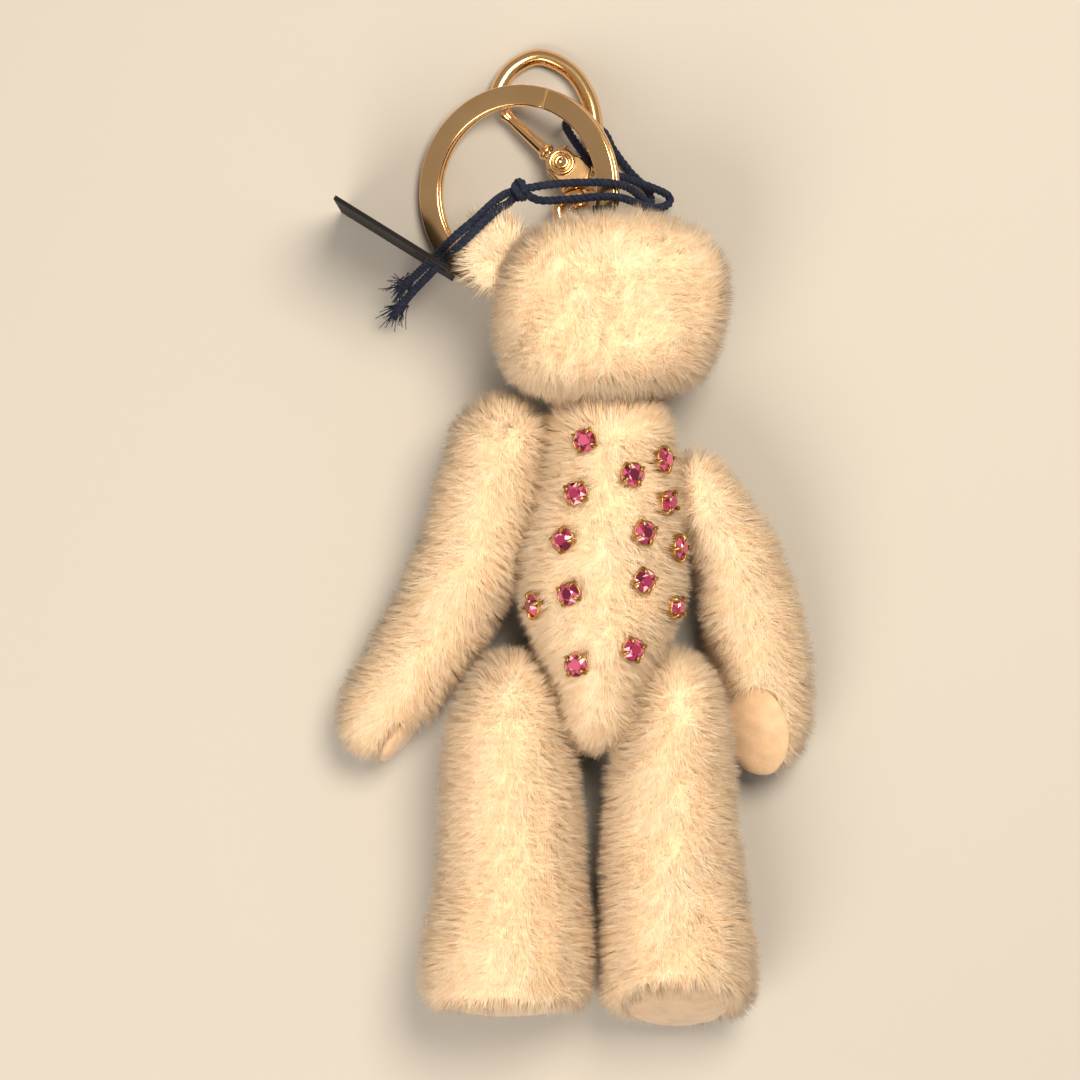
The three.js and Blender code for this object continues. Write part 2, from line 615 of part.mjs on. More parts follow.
// The tag stands on its long edge, with its hole high at the end nearer the bear.
const tagHole = new THREE.BoxGeometry(TAG.hole, 6, TAG.hole);
tagHole.translate(TAG.length - 3, 0, TAG.height * 0.71);
const card = cut(
  new THREE.BoxGeometry(TAG.length, TAG.t, TAG.height).translate(TAG.length / 2, 0, TAG.height / 2),
  tagHole,
);
const tag = add(bear, "swing_tag", card, black);
tag.position.set(TAG.corner[0], TAG.corner[1], 0.1);
tag.rotation.z = rad(TAG.angle);

bear.position.set(-ORIGIN[0], -ORIGIN[1], 0);

export default bear;
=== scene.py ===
"""A jointed mohair teddy bear key charm, lying on its front with its key ring and clasp above its head."""

import json
import math

import bmesh
import bpy
import numpy as np
from mathutils import Matrix, Vector
from mathutils.bvhtree import BVHTree
from mathutils.kdtree import KDTree


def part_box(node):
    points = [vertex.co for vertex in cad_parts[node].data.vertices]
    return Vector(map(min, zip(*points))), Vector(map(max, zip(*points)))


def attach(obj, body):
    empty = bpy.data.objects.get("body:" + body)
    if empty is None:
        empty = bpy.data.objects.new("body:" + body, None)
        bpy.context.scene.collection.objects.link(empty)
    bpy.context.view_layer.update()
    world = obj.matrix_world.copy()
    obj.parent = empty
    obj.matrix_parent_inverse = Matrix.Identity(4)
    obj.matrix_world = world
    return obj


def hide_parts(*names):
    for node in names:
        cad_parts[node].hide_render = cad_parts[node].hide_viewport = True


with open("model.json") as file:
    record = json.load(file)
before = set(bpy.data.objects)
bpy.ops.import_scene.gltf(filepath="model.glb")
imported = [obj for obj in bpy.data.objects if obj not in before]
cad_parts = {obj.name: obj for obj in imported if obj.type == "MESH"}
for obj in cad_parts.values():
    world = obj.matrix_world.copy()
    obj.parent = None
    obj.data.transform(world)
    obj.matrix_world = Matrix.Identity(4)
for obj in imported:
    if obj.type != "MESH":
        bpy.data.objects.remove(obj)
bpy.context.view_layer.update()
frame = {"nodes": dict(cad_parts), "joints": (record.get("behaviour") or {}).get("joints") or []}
NODES = frame["nodes"]
JOINTS = {joint["name"]: joint for joint in frame["joints"]}
MM = 0.001


def mm(x, y, z):
    return Vector((x, y, z)) * MM


# Places on the charm are given in millimetres from a datum in the middle of the bear's back,
# at the height of the surface it lies on. The neck joint fixes where that datum is.
NECK_FROM_DATUM = mm(4.0, 20.9, 14.5)
DATUM = Vector(JOINTS["neck_turn"]["pos_m"]) - NECK_FROM_DATUM


def on_charm(x, y, z):
    return DATUM + mm(x, y, z)


# -------- camera, floor and light

SENSOR_WIDTH = 36
VIEW_WIDTH = 0.1512
VIEW_HEIGHT = 0.013  # of the plane that VIEW_WIDTH is measured in
VIEW_CENTRE = (-6.3, 0.7)  # from the datum, in mm
CAMERA_DISTANCE = 0.60
FLOOR_HALF = 1.5
WARM_WHITE = (1.0, 0.93, 0.85)
WORLD_STRENGTH = 0.35


def make_camera():
    data = bpy.data.cameras.new("camera")
    data.sensor_width = SENSOR_WIDTH
    data.lens = data.sensor_width * CAMERA_DISTANCE / VIEW_WIDTH
    data.clip_start = 0.01
    camera = bpy.data.objects.new("camera", data)
    camera.location = on_charm(*VIEW_CENTRE, 0) + Vector((0, 0, VIEW_HEIGHT + CAMERA_DISTANCE))
    bpy.context.scene.collection.objects.link(camera)
    bpy.context.scene.camera = camera


def area_light(name, location, size, power, colour):
    """A round soft light that looks at the charm."""
    data = bpy.data.lights.new(name, "AREA")
    data.shape = "DISK"
    data.size = size
    data.energy = power
    data.color = colour
    light = bpy.data.objects.new(name, data)
    light.location = location
    light.rotation_euler = (-Vector(location)).to_track_quat("-Z", "Y").to_euler()
    bpy.context.scene.collection.objects.link(light)


def make_stage():
    corners = [(x * FLOOR_HALF, y * FLOOR_HALF, 0) for x, y in ((-1, -1), (1, -1), (1, 1), (-1, 1))]
    floor = bpy.data.objects.new("floor", mesh_of("floor", corners, [(0, 1, 2, 3)], smooth=False))
    floor.data.materials.append(simple_material("floor", (0.50, 0.485, 0.46), 0.7))
    bpy.context.scene.collection.objects.link(floor)
    world = bpy.data.worlds.new("studio")
    world.use_nodes = True
    background = world.node_tree.nodes["Background"]
    background.inputs["Color"].default_value = (*WARM_WHITE, 1)
    background.inputs["Strength"].default_value = WORLD_STRENGTH
    bpy.context.scene.world = world
    area_light("key", (0.13, 0.18, 0.50), 0.26, 3.0, (1.0, 0.86, 0.68))
    area_light("fill", (-0.20, -0.28, 0.42), 0.36, 2.0, (1.0, 0.88, 0.73))
    bpy.context.scene.view_settings.view_transform = "Standard"


# -------- materials


def principled(name):
    material = bpy.data.materials.new(name)
    material.use_nodes = True
    return material, material.node_tree, material.node_tree.nodes["Principled BSDF"]


def simple_material(name, colour, roughness, metallic=0.0, sheen=0.0, coat=0.0):
    material, _, shader = principled(name)
    shader.inputs["Base Color"].default_value = (*colour, 1)
    shader.inputs["Roughness"].default_value = roughness
    shader.inputs["Metallic"].default_value = metallic
    shader.inputs["Sheen Weight"].default_value = sheen
    shader.inputs["Coat Weight"].default_value = coat
    return material


def noise(tree, scale, detail=3.0, distortion=0.0):
    coordinates = tree.nodes.new("ShaderNodeTexCoord")
    texture = tree.nodes.new("ShaderNodeTexNoise")
    texture.inputs["Scale"].default_value = scale
    texture.inputs["Detail"].default_value = detail
    texture.inputs["Distortion"].default_value = distortion
    tree.links.new(coordinates.outputs["Object"], texture.inputs["Vector"])
    return texture


def ramp(tree, source, low, high, low_at=0.3, high_at=0.7):
    node = tree.nodes.new("ShaderNodeValToRGB")
    node.color_ramp.elements[0].position = low_at
    node.color_ramp.elements[0].color = (*low, 1)
    node.color_ramp.elements[1].position = high_at
    node.color_ramp.elements[1].color = (*high, 1)
    tree.links.new(source, node.inputs["Fac"])
    return node


def bump(tree, shader, height, strength, distance):
    node = tree.nodes.new("ShaderNodeBump")
    node.inputs["Strength"].default_value = strength
    node.inputs["Distance"].default_value = distance
    tree.links.new(height, node.inputs["Height"])
    tree.links.new(node.outputs["Normal"], shader.inputs["Normal"])


def mottled(name, low, high, scale, roughness, grain, depth,
            metallic=0.0, sheen=0.0, rough_spread=0.0, shine=0.5):
    """A material whose colour drifts between two tones, with a fine bump of its own grain.

    scale and grain are the noise scales of the colour and of the bump, and depth is the bump's height."""
    material, tree, shader = principled(name)
    shader.inputs["Specular IOR Level"].default_value = shine
    drift = noise(tree, scale)
    tree.links.new(ramp(tree, drift.outputs["Fac"], low, high).outputs["Color"], shader.inputs["Base Color"])
    shader.inputs["Roughness"].default_value = roughness
    shader.inputs["Metallic"].default_value = metallic
    shader.inputs["Sheen Weight"].default_value = sheen
    if rough_spread:
        span = tree.nodes.new("ShaderNodeMapRange")
        span.inputs["To Min"].default_value = roughness - rough_spread
        span.inputs["To Max"].default_value = roughness + rough_spread
        tree.links.new(noise(tree, grain * 0.3).outputs["Fac"], span.inputs["Value"])
        tree.links.new(span.outputs["Result"], shader.inputs["Roughness"])
    if depth:
        bump(tree, shader, noise(tree, grain, 4.0).outputs["Fac"], 0.6, depth)
    return material


def woven_backing():
    """The knitted ground that the pile is tied into, seen only where the pile parts."""
    material, tree, shader = principled("woven_backing")
    drift = noise(tree, 260)
    tones = ramp(tree, drift.outputs["Fac"], (0.78, 0.64, 0.46), (0.90, 0.79, 0.62))
    tree.links.new(tones.outputs["Color"], shader.inputs["Base Color"])
    shader.inputs["Roughness"].default_value = 0.9
    shader.inputs["Sheen Weight"].default_value = 0.3
    wave = tree.nodes.new("ShaderNodeTexWave")
    wave.inputs["Scale"].default_value = 900
    wave.inputs["Distortion"].default_value = 1.5
    coordinates = tree.nodes.new("ShaderNodeTexCoord")
    tree.links.new(coordinates.outputs["Object"], wave.inputs["Vector"])
    bump(tree, shader, wave.outputs["Fac"], 0.5, 0.0002)
    return material


# The pile's shades, from the deepest to the palest. They vary at random as the mohair's own tone, and the
# deeper ones also serve as painted shade between the rows of tufts.
PILE_SHADES = [
    (0.88, 0.59, 0.35),
    (0.95, 0.69, 0.45),
    (0.98, 0.76, 0.53),
    (1.0, 0.82, 0.61),
    (1.0, 0.88, 0.70),
]


MATT = 0.15  # how much card, cord and leather shine


def make_materials():
    made = {
        "backing": woven_backing(),
        "felt": mottled("wool_felt", (0.62, 0.42, 0.25), (0.74, 0.53, 0.34), 420, 0.95, 4200, 0.00025,
                        sheen=0.5),
        "gold": mottled("polished_gold_plate", (0.84, 0.51, 0.23), (0.92, 0.59, 0.29), 120, 0.16, 900, 0.0,
                        metallic=1.0, rough_spread=0.05),
        "brass": mottled("claw_brass", (0.30, 0.17, 0.05), (0.62, 0.38, 0.13), 900, 0.32, 3000, 0.00004, 1.0),
        "steel": mottled("pin_steel", (0.42, 0.42, 0.43), (0.56, 0.56, 0.57), 300, 0.35, 2500, 0.00003, 1.0),
        "board": mottled("pressed_fibreboard", (0.25, 0.16, 0.09), (0.42, 0.29, 0.18), 700, 0.85, 3500,
                         0.0001),
        "cord": mottled("navy_cotton", (0.008, 0.012, 0.030), (0.022, 0.030, 0.062), 1500, 0.75, 5000, 0.0001,
                        sheen=0.06, shine=MATT),
        "card": mottled("black_card", (0.003, 0.003, 0.004), (0.007, 0.007, 0.008), 260, 0.6, 4000, 0.00003,
                        shine=MATT),
        "leather": mottled("black_leather", (0.010, 0.010, 0.014), (0.022, 0.022, 0.028), 400, 0.5, 2200,
                           0.0002, shine=MATT),
        "bead": mottled("glass_bead", (0.010, 0.007, 0.006), (0.022, 0.014, 0.010), 200, 0.05, 900, 0.0),
        "thread": mottled("black_floss", (0.015, 0.011, 0.010), (0.035, 0.026, 0.024), 900, 0.55, 4000,
                          0.00008, sheen=0.5),
    }
    made["pile"] = [
        simple_material("mohair_shade_%d" % (i + 1), shade, 0.5, sheen=0.15)
        for i, shade in enumerate(PILE_SHADES)
    ]
    # The stone's facet tones: rose is the glass's own colour, and the darker, lighter and near-white tones
    # are painted dark reflections, painted lit facets and painted glints.
    made["facets"] = [
        simple_material("crystal_painted_dark_reflection", (0.15, 0.008, 0.035), 0.05, 0.4, coat=1.0),
        simple_material("crystal_rose", (0.42, 0.03, 0.11), 0.04, 0.4, coat=1.0),
        simple_material("crystal_pink", (0.68, 0.12, 0.25), 0.04, 0.35, coat=1.0),
        simple_material("crystal_painted_glint", (1.0, 0.66, 0.72), 0.03, 0.2, coat=1.0),
    ]
    return made


# -------- mesh helpers


def new_object(name, mesh, body, slot, *materials):
    thing = bpy.data.objects.new(name, mesh)
    bpy.context.scene.collection.objects.link(thing)
    for material in materials:
        mesh.materials.append(material)
    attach(thing, body)
    return thing


def mesh_of(name, vertices, faces, smooth=True):
    mesh = bpy.data.meshes.new(name)
    mesh.from_pydata([tuple(v) for v in vertices], [], faces)
    if smooth:
        mesh.shade_smooth()
    return mesh


def catmull_rom(points, per_span=8, closed=False):
    """Points on a smooth curve through the given ones."""
    points = [Vector(p) for p in points]
    spans = len(points) if closed else len(points) - 1
    line = []
    for i in range(spans):
        if closed:
            a, b, c, d = (points[(i + k) % len(points)] for k in (-1, 0, 1, 2))
        else:
            b, c = points[i], points[i + 1]
            a = points[i - 1] if i else 2 * b - c
            d = points[i + 2] if i + 2 < len(points) else 2 * c - b
        for k in range(per_span):
            t = k / per_span
            bow = (2 * a - 5 * b + 4 * c - d) * t * t
            sway = (3 * b - 3 * c + d - a) * t**3
            line.append(0.5 * (2 * b + (c - a) * t + bow + sway))
    if not closed:
        line.append(points[-1])
    return line


def frames_along(path, closed=False, hint=Vector((0, 0, 1))):
    """A tangent and two cross axes at each point, carried along without twist."""
    count = len(path)
    tangents = []
    for i in range(count):
        before = path[i - 1] if i or closed else path[0]
        after = path[(i + 1) % count] if i < count - 1 or closed else path[-1]
        tangents.append((after - before).normalized())
    across = hint.cross(tangents[0]).normalized()
    axes = []
    for tangent in tangents:
        across = (across - tangent * across.dot(tangent)).normalized()
        axes.append((tangent, across, tangent.cross(across)))
    return axes


def sweep(name, path, section, closed=False, scale=None, hint=Vector((0, 0, 1)), twist=0.0):
    """A skin over a section (a list of (across, up)) carried along a path."""
    rings = []
    for i, (point, (_, across, up)) in enumerate(zip(path, frames_along(path, closed, hint))):
        size = scale(i / (len(path) - 1)) if scale else 1.0
        angle = twist * i
        turn = (math.cos(angle), math.sin(angle))
        rings.append(
            [
                point + across * (a * turn[0] - u * turn[1]) * size + up * (a * turn[1] + u * turn[0]) * size
                for a, u in section
            ]
        )
    sides = len(section)
    faces = []
    for i in range(len(rings) if closed else len(rings) - 1):
        here, there = i * sides, ((i + 1) % len(rings)) * sides
        for j in range(sides):
            k = (j + 1) % sides
            faces.append((here + j, here + k, there + k, there + j))
    if not closed:
        faces.append(tuple(reversed(range(sides))))
        faces.append(tuple((len(rings) - 1) * sides + j for j in range(sides)))
    return mesh_of(name, [p for ring in rings for p in ring], faces)


def circle(radius, sides=16):
    turns = [2 * math.pi * j / sides for j in range(sides)]
    return [(radius * math.cos(angle), radius * math.sin(angle)) for angle in turns]


def lathe(profile, sides=32):
    """Vertices and faces turned about +Y from (radius, height) pairs that start and end on the axis."""
    inner = profile[1:-1]
    vertices = [Vector((0, profile[0][1], 0))]
    for radius, height in inner:
        for j in range(sides):
            angle = 2 * math.pi * j / sides
            vertices.append(Vector((radius * math.cos(angle), height, -radius * math.sin(angle))))
    vertices.append(Vector((0, profile[-1][1], 0)))
    faces = []
    for j in range(sides):
        k = (j + 1) % sides
        faces.append((0, 1 + k, 1 + j))
        for i in range(len(inner) - 1):
            here, there = 1 + i * sides, 1 + (i + 1) * sides
            faces.append((here + j, here + k, there + k, there + j))
        last = 1 + (len(inner) - 1) * sides
        faces.append((last + j, last + k, len(vertices) - 1))
    return vertices, faces


def joined(name, parts, place=Matrix.Identity(4)):
    """One mesh from several (vertices, faces) lists, moved to its place."""
    vertices, faces = [], []
    for some_vertices, some_faces in parts:
        start = len(vertices)
        vertices += [place @ Vector(v) for v in some_vertices]
        faces += [tuple(start + i for i in face) for face in some_faces]
    return mesh_of(name, vertices, faces)


def as_lists(mesh):
    return [v.co.copy() for v in mesh.vertices], [tuple(p.vertices) for p in mesh.polygons]


def places_and_normals(mesh):
    """Every vertex's place and normal, as two arrays of three columns."""
    found = []
    for attribute in ("co", "normal"):
        values = np.zeros(len(mesh.vertices) * 3)
        mesh.vertices.foreach_get(attribute, values)
        found.append(values.reshape(-1, 3))
    return found


def apply_modifiers(thing):
    """The object's own mesh becomes what its modifiers make of it."""
    evaluated = thing.evaluated_get(bpy.context.evaluated_depsgraph_get())
    mesh = bpy.data.meshes.new_from_object(evaluated)
    old = thing.data
    thing.modifiers.clear()
    thing.data = mesh
    bpy.data.meshes.remove(old)


def soften_edges(thing, width, segments=3, angle=35):
    """Rounds every edge sharper than an angle in degrees."""
    bevel = thing.modifiers.new("bevel", "BEVEL")
    bevel.width = width
    bevel.segments = segments
    bevel.limit_method = "ANGLE"
    bevel.angle_limit = math.radians(angle)
    bevel.harden_normals = True
    apply_modifiers(thing)


# -------- stuffed skins

# Each joint's disc and pin sit in a hollow of the form, wide round the disc and narrow round the pin.
HOLLOW_REACH = 4.3 * MM
HOLLOW_MOUTH = 0.1 * MM
HOLLOW_NECK = 1.1 * MM
HOLLOW_SHOULDER = 1.7 * MM
HOLLOW_RADIUS = {"neck_turn": 4.6 * MM, "right_shoulder": 2.9 * MM}
LIMB_HOLLOW_RADIUS = 3.6 * MM
SKIN_VOXEL = 0.8 * MM
SKIN_INSET = -0.1 * MM


def plug_for(joint_name, middle):
    """A solid that fills the hollow on one side of a joint, on the side where middle is."""
    at = Vector(JOINTS[joint_name]["pos_m"])
    axis = Vector(JOINTS[joint_name]["axis"]).normalized()
    if (middle - at).dot(axis) < 0:
        axis = -axis
    radius = HOLLOW_RADIUS.get(joint_name, LIMB_HOLLOW_RADIUS)
    profile = [
        (0, HOLLOW_MOUTH), (HOLLOW_NECK, HOLLOW_MOUTH), (HOLLOW_NECK, HOLLOW_SHOULDER),
        (radius, HOLLOW_SHOULDER), (radius, HOLLOW_REACH), (0, HOLLOW_REACH),
    ]
    turn = Vector((0, 1, 0)).rotation_difference(axis).to_matrix().to_4x4()
    vertices, faces = lathe(profile, 24)
    place = Matrix.Translation(at) @ turn
    return [place @ v for v in vertices], faces


def stuffed_skin(name, node, body, joint_names, inset=SKIN_INSET):
    """The fabric of a stuffed form, drawn in from the outer shape of its solid."""
    solid = bmesh.new()
    solid.from_mesh(NODES[node].data)
    bmesh.ops.remove_doubles(solid, verts=solid.verts, dist=1e-6)
    form = bpy.data.meshes.new(node + "_form")
    solid.to_mesh(form)
    solid.free()
    parts = [as_lists(form)] + [plug_for(joint, middle_of(node)) for joint in joint_names]
    thing = new_object(name, joined(name, parts), body, "mohair_plush")
    remesh = thing.modifiers.new("even", "REMESH")
    remesh.mode = "VOXEL"
    remesh.voxel_size = SKIN_VOXEL
    smooth = thing.modifiers.new("smooth", "SMOOTH")
    smooth.factor = 0.5
    smooth.iterations = 8
    apply_modifiers(thing)
    mesh = thing.data
    places, normals = places_and_normals(mesh)
    mesh.vertices.foreach_set("co", (places - inset * normals).reshape(-1))
    mesh.materials.clear()
    mesh.materials.append(LOOKS["backing"])
    mesh.shade_smooth()
    mesh.update()
    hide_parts(node)
    return thing


# -------- pile

PILE_LENGTH = 2.7 * MM
STRAND_WIDTH = 0.10 * MM
STRANDS_PER_M2 = 24e6
LENGTH_SPREAD = (0.72, 1.08)
ROOT_DEPTH = 0.2 * MM
STRAND_STRAY = 0.10
TIP_STRAY = 0.14 * MM
TUFTS_PER_M2 = 1.3e6
TUFT_PULL = 0.25
TUFT_STRAY = 0.13
TUFT_SPREAD = (0.90, 1.06)
ROW_SPACING = 1.1 * MM
ROW_PULL = 0.6
ROW_PAINTED_SHADE = 1.1  # painted shade: how many shades deeper the pile is made between two rows, standing in for the shadow there
ROW_SWAY = 0.3 * MM
REACH_NEXT = 4.5 * MM  # pile this near another stuffed form grows longer and fills the gap
FILL_LENGTH = 0.5
PARTING_PUSH = 0.38
PARTING_WIDTH = 1.6 * MM
PARTING_EDGE = 0.5 * MM
PARTING_WOBBLE = 0.7 * MM
MIDDLE_SHADE = 2.6
SHADE_SPREAD = 0.9
TUFT_SHADE_SPREAD = 0.4
FLOOR_CLEARANCE = 0.15 * MM


def surface_tree(thing):
    """A search tree over an object's faces, for finding how near other points come to it."""
    mesh = thing.data
    return BVHTree.FromPolygons([v.co for v in mesh.vertices], [tuple(p.vertices) for p in mesh.polygons])


def unit(vectors):
    return vectors / np.maximum(np.linalg.norm(vectors, axis=1, keepdims=True), 1e-12)


def scatter(mesh, density, rng):
    """Random places on a mesh, so many to a square metre, with the normals there."""
    mesh.calc_loop_triangles()
    triangles = np.zeros(len(mesh.loop_triangles) * 3, np.int32)
    mesh.loop_triangles.foreach_get("vertices", triangles)
    triangles = triangles.reshape(-1, 3)
    places, normals = places_and_normals(mesh)
    corners = places[triangles]
    sides = corners[:, 1] - corners[:, 0], corners[:, 2] - corners[:, 0]
    area = np.linalg.norm(np.cross(*sides), axis=1) / 2
    number = int(density * area.sum())
    chosen = rng.choice(len(area), number, p=area / area.sum())
    a, b = rng.random(number), rng.random(number)
    flip = a + b > 1
    a[flip], b[flip] = 1 - a[flip], 1 - b[flip]
    weights = np.stack([1 - a - b, a, b], axis=1)[:, :, None]
    at = (corners[chosen] * weights).sum(axis=1)
    facing = (normals[triangles[chosen]] * weights).sum(axis=1)
    return at, unit(facing)


def drift(places, size, seed):
    """A smooth random vector field: sums of a few plane waves whose length is about size."""
    rng = np.random.default_rng(seed)
    field = np.zeros_like(places)
    for _ in range(7):
        wave = rng.normal(size=3)
        wave *= 2 * math.pi / size / np.linalg.norm(wave) * rng.uniform(0.6, 1.5)
        phase = rng.uniform(0, 2 * math.pi)
        field += rng.normal(size=3) * np.sin(places @ wave + phase)[:, None]
    return field / 2.6


NEEDLE_SIDES = 3


def needles(name, root, tip, width, normals, shades):
    """A mesh of fine tapering strands, each a three-sided spike, shaded with the skin under it."""
    count = len(root)
    rng = np.random.default_rng(count)
    along = unit(tip - root)
    side = unit(np.cross(along, unit(rng.normal(size=(count, 3)))))
    other = np.cross(along, side)
    corners = np.empty((count, NEEDLE_SIDES + 1, 3))
    for k in range(NEEDLE_SIDES):
        angle = 2 * math.pi * k / NEEDLE_SIDES
        corners[:, k] = root + (side * math.cos(angle) + other * math.sin(angle)) * (width / 2)
    corners[:, NEEDLE_SIDES] = tip
    corners[:, :, 2] = np.maximum(corners[:, :, 2], FLOOR_CLEARANCE)
    per = NEEDLE_SIDES + 1
    mesh = bpy.data.meshes.new(name)
    mesh.vertices.add(per * count)
    mesh.vertices.foreach_set("co", corners.reshape(-1))
    pattern = np.array([(k, (k + 1) % NEEDLE_SIDES, NEEDLE_SIDES) for k in range(NEEDLE_SIDES)]).reshape(-1)
    loops = (per * np.arange(count)[:, None] + pattern).reshape(-1)
    mesh.loops.add(len(loops))
    mesh.loops.foreach_set("vertex_index", loops.astype(np.int32))
    mesh.polygons.add(NEEDLE_SIDES * count)
    mesh.polygons.foreach_set("loop_start", np.arange(0, len(loops), 3, dtype=np.int32))
    mesh.polygons.foreach_set("material_index", np.repeat(shades, NEEDLE_SIDES).astype(np.int32))
    mesh.update(calc_edges=True)
    mesh.shade_smooth()
    outward = corners - (corners[:, :NEEDLE_SIDES].mean(axis=1))[:, None]
    outward[:, NEEDLE_SIDES] = 0
    outward /= width / 2
    soft = normals[:, None] + outward * 0.5
    mesh.normals_split_custom_set_from_vertices(unit(soft.reshape(-1, 3)).tolist())
    return mesh


def tuft_index(places, centres):
    """Which of the tufts' centres each place is nearest to."""
    tree = KDTree(len(centres))
    for i, centre in enumerate(centres):
        tree.insert(centre, i)
    tree.balance()
    return np.array([tree.find(place)[1] for place in places])


def clear_of(root, bare):
    """Which roots lie further from each of the (object, distance) pairs than the distance."""
    keep = np.ones(len(root), bool)
    for thing, distance in bare:
        tree = surface_tree(thing)
        keep &= np.array([tree.find_nearest(p, distance)[0] is None for p in root])
    return keep


def pile(name, skin, body, comb, seed, length=PILE_LENGTH, bare=(), partings=(), lean=0.35, rows=None,
         next_to=()):
    """Mohair pile on a skin: tufted, combed along a direction, and parted along its seams.

    comb gives a direction for each root. rows is the direction square to the woven rows of tufts.
    bare lists (objects, distance) that keep the pile off. partings lists functions giving each root's
    signed distance from a seam and the direction away from it. next_to lists the nodes of other
    stuffed forms, where the pile is fuller."""
    rng = np.random.default_rng(seed)
    root, normal = scatter(skin.data, STRANDS_PER_M2, rng)
    keep = clear_of(root, bare)
    root, normal = root[keep], normal[keep]
    flow = comb(root)
    flow = unit(flow - normal * (flow * normal).sum(axis=1, keepdims=True))
    long = length * rng.uniform(*LENGTH_SPREAD, len(root))
    for node in next_to:
        tree = surface_tree(NODES[node])
        gap = np.array([tree.find_nearest(p, REACH_NEXT)[3] or REACH_NEXT for p in root])
        long *= 1 + FILL_LENGTH * (1 - gap / REACH_NEXT)
    wander = drift(root, 9 * MM, seed + 1) * 0.20 + drift(root, 3 * MM, seed + 2) * 0.12
    direction = normal + flow * lean + wander
    for parting in partings:
        distance, away = parting(root)
        distance = distance + drift(root, 5 * MM, seed + 4)[:, 1] * PARTING_WOBBLE
        close = np.exp(-((distance / PARTING_WIDTH) ** 2))[:, None]
        direction += away * np.tanh(distance / PARTING_EDGE)[:, None] * close * PARTING_PUSH
    direction = unit(direction)
    centres = root[rng.random(len(root)) < TUFTS_PER_M2 / STRANDS_PER_M2]
    tuft = tuft_index(root, centres)
    tuft_way = rng.normal(scale=TUFT_STRAY, size=(len(centres), 3))
    tuft_long = rng.uniform(*TUFT_SPREAD, len(centres))
    direction = unit(direction + tuft_way[tuft] + rng.normal(scale=STRAND_STRAY, size=root.shape))
    long *= tuft_long[tuft]
    tip = root + direction * long[:, None]
    tuft_tip = centres[tuft] + direction * long[:, None]
    tip = tip * (1 - TUFT_PULL) + tuft_tip * TUFT_PULL + rng.normal(scale=TIP_STRAY, size=root.shape)
    between_rows = 0
    if rows:
        across = np.array(Vector(rows).normalized())
        place = (root @ across + drift(root, 12 * MM, seed + 3)[:, 0] * ROW_SWAY) / ROW_SPACING
        from_row = np.floor(place) + 0.5 - place
        tip += across * (from_row * ROW_SPACING * ROW_PULL)[:, None]
        between_rows = np.abs(from_row) * 2
    # Painted shade: strands between two rows of tufts take deeper shades for the shadow there; the rest of
    # the spread is the mohair's random tone.
    tone = MIDDLE_SHADE - ROW_PAINTED_SHADE * between_rows + SHADE_SPREAD * rng.normal(size=len(root))
    tone += TUFT_SHADE_SPREAD * rng.normal(size=len(centres))[tuft]
    shades = np.clip(np.round(tone), 0, len(PILE_SHADES) - 1)
    mesh = needles(name, root - normal * ROOT_DEPTH, tip, STRAND_WIDTH, normal, shades)
    return new_object(name, mesh, body, "mohair_plush", *LOOKS["pile"])


def steady(x, y, z):
    """A comb direction that is the same everywhere."""
    return lambda places: np.tile((x, y, z), (len(places), 1)).astype(float)


def away_from(point):
    """A comb direction that runs out from a point."""
    return lambda places: places - np.array(point)


def seam_plane(point, across):
    """A seam where a plane meets the skin, on the side that faces up."""
    point, across = np.array(point), np.array(Vector(across).normalized())

    def parting(places):
        return (places - point) @ across, np.tile(across, (len(places), 1))

    return parting


# -------- bear


COLLAR_FROM = DATUM.y + 15.5 * MM
COLLAR_WIDTH = 1.5 * MM
BACK_HALF = 8 * MM
SETTING_CLEARANCE = 0.35 * MM
PATCH_CLEARANCE = {"arm": 0.35 * MM, "leg": 0.2 * MM}
ROW_SLANT = 0.3
STONE_NODES = sorted(name for name in NODES if name.startswith("rhinestone"))


def middle_of(node):
    low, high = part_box(node)
    return (Vector(low) + Vector(high)) / 2


def make_torso():
    joints = ["neck_turn", "left_shoulder", "right_shoulder", "left_hip", "right_hip"]
    skin = stuffed_skin("torso_skin", "torso", "torso", joints)
    seam = seam_plane(middle_of("torso") + mm(0.4, 0, 0), (1, 0.07, 0))
    pile("torso_pile", skin, "torso", collar_comb, 11, partings=[seam], bare=setting_keepouts(),
         rows=(0.1, 1, 0), next_to=("head", "left_arm", "right_arm", "left_leg", "right_leg"))


def collar_comb(places):
    """Down the back, but up and out round the neck, where the pile hides the joint."""
    flow = np.zeros_like(places)
    flow[:, 0] = (places[:, 0] - middle_of("torso").x) / BACK_HALF * 0.5
    flow[:, 1] = np.tanh((places[:, 1] - COLLAR_FROM) / COLLAR_WIDTH)
    return flow


def setting_keepouts():
    return [(NODES[name], SETTING_CLEARANCE) for name in STONE_NODES]


def make_limb(side, limb, joint, seed):
    """An arm or a leg: its skin, its felt patch and its pile, combed away from its joint."""
    body = side + "_" + limb
    patch_node = side + ("_paw_pad" if limb == "arm" else "_foot_sole")
    skin = stuffed_skin(body + "_skin", body, body, [joint])
    way = middle_of(body) - Vector(JOINTS[joint]["pos_m"])
    comb = steady(way.x, way.y, way.z + 0.1 * way.length)
    patch = felt_patch(patch_node + "_felt", patch_node, body)
    other_leg = "right_leg" if side == "left" else "left_leg"
    beside = "head" if limb == "arm" else other_leg
    pile(body + "_pile", skin, body, comb, seed, bare=[(patch, PATCH_CLEARANCE[limb])],
         rows=(way.x - ROW_SLANT * way.y, way.y, 0), next_to=("torso", beside))


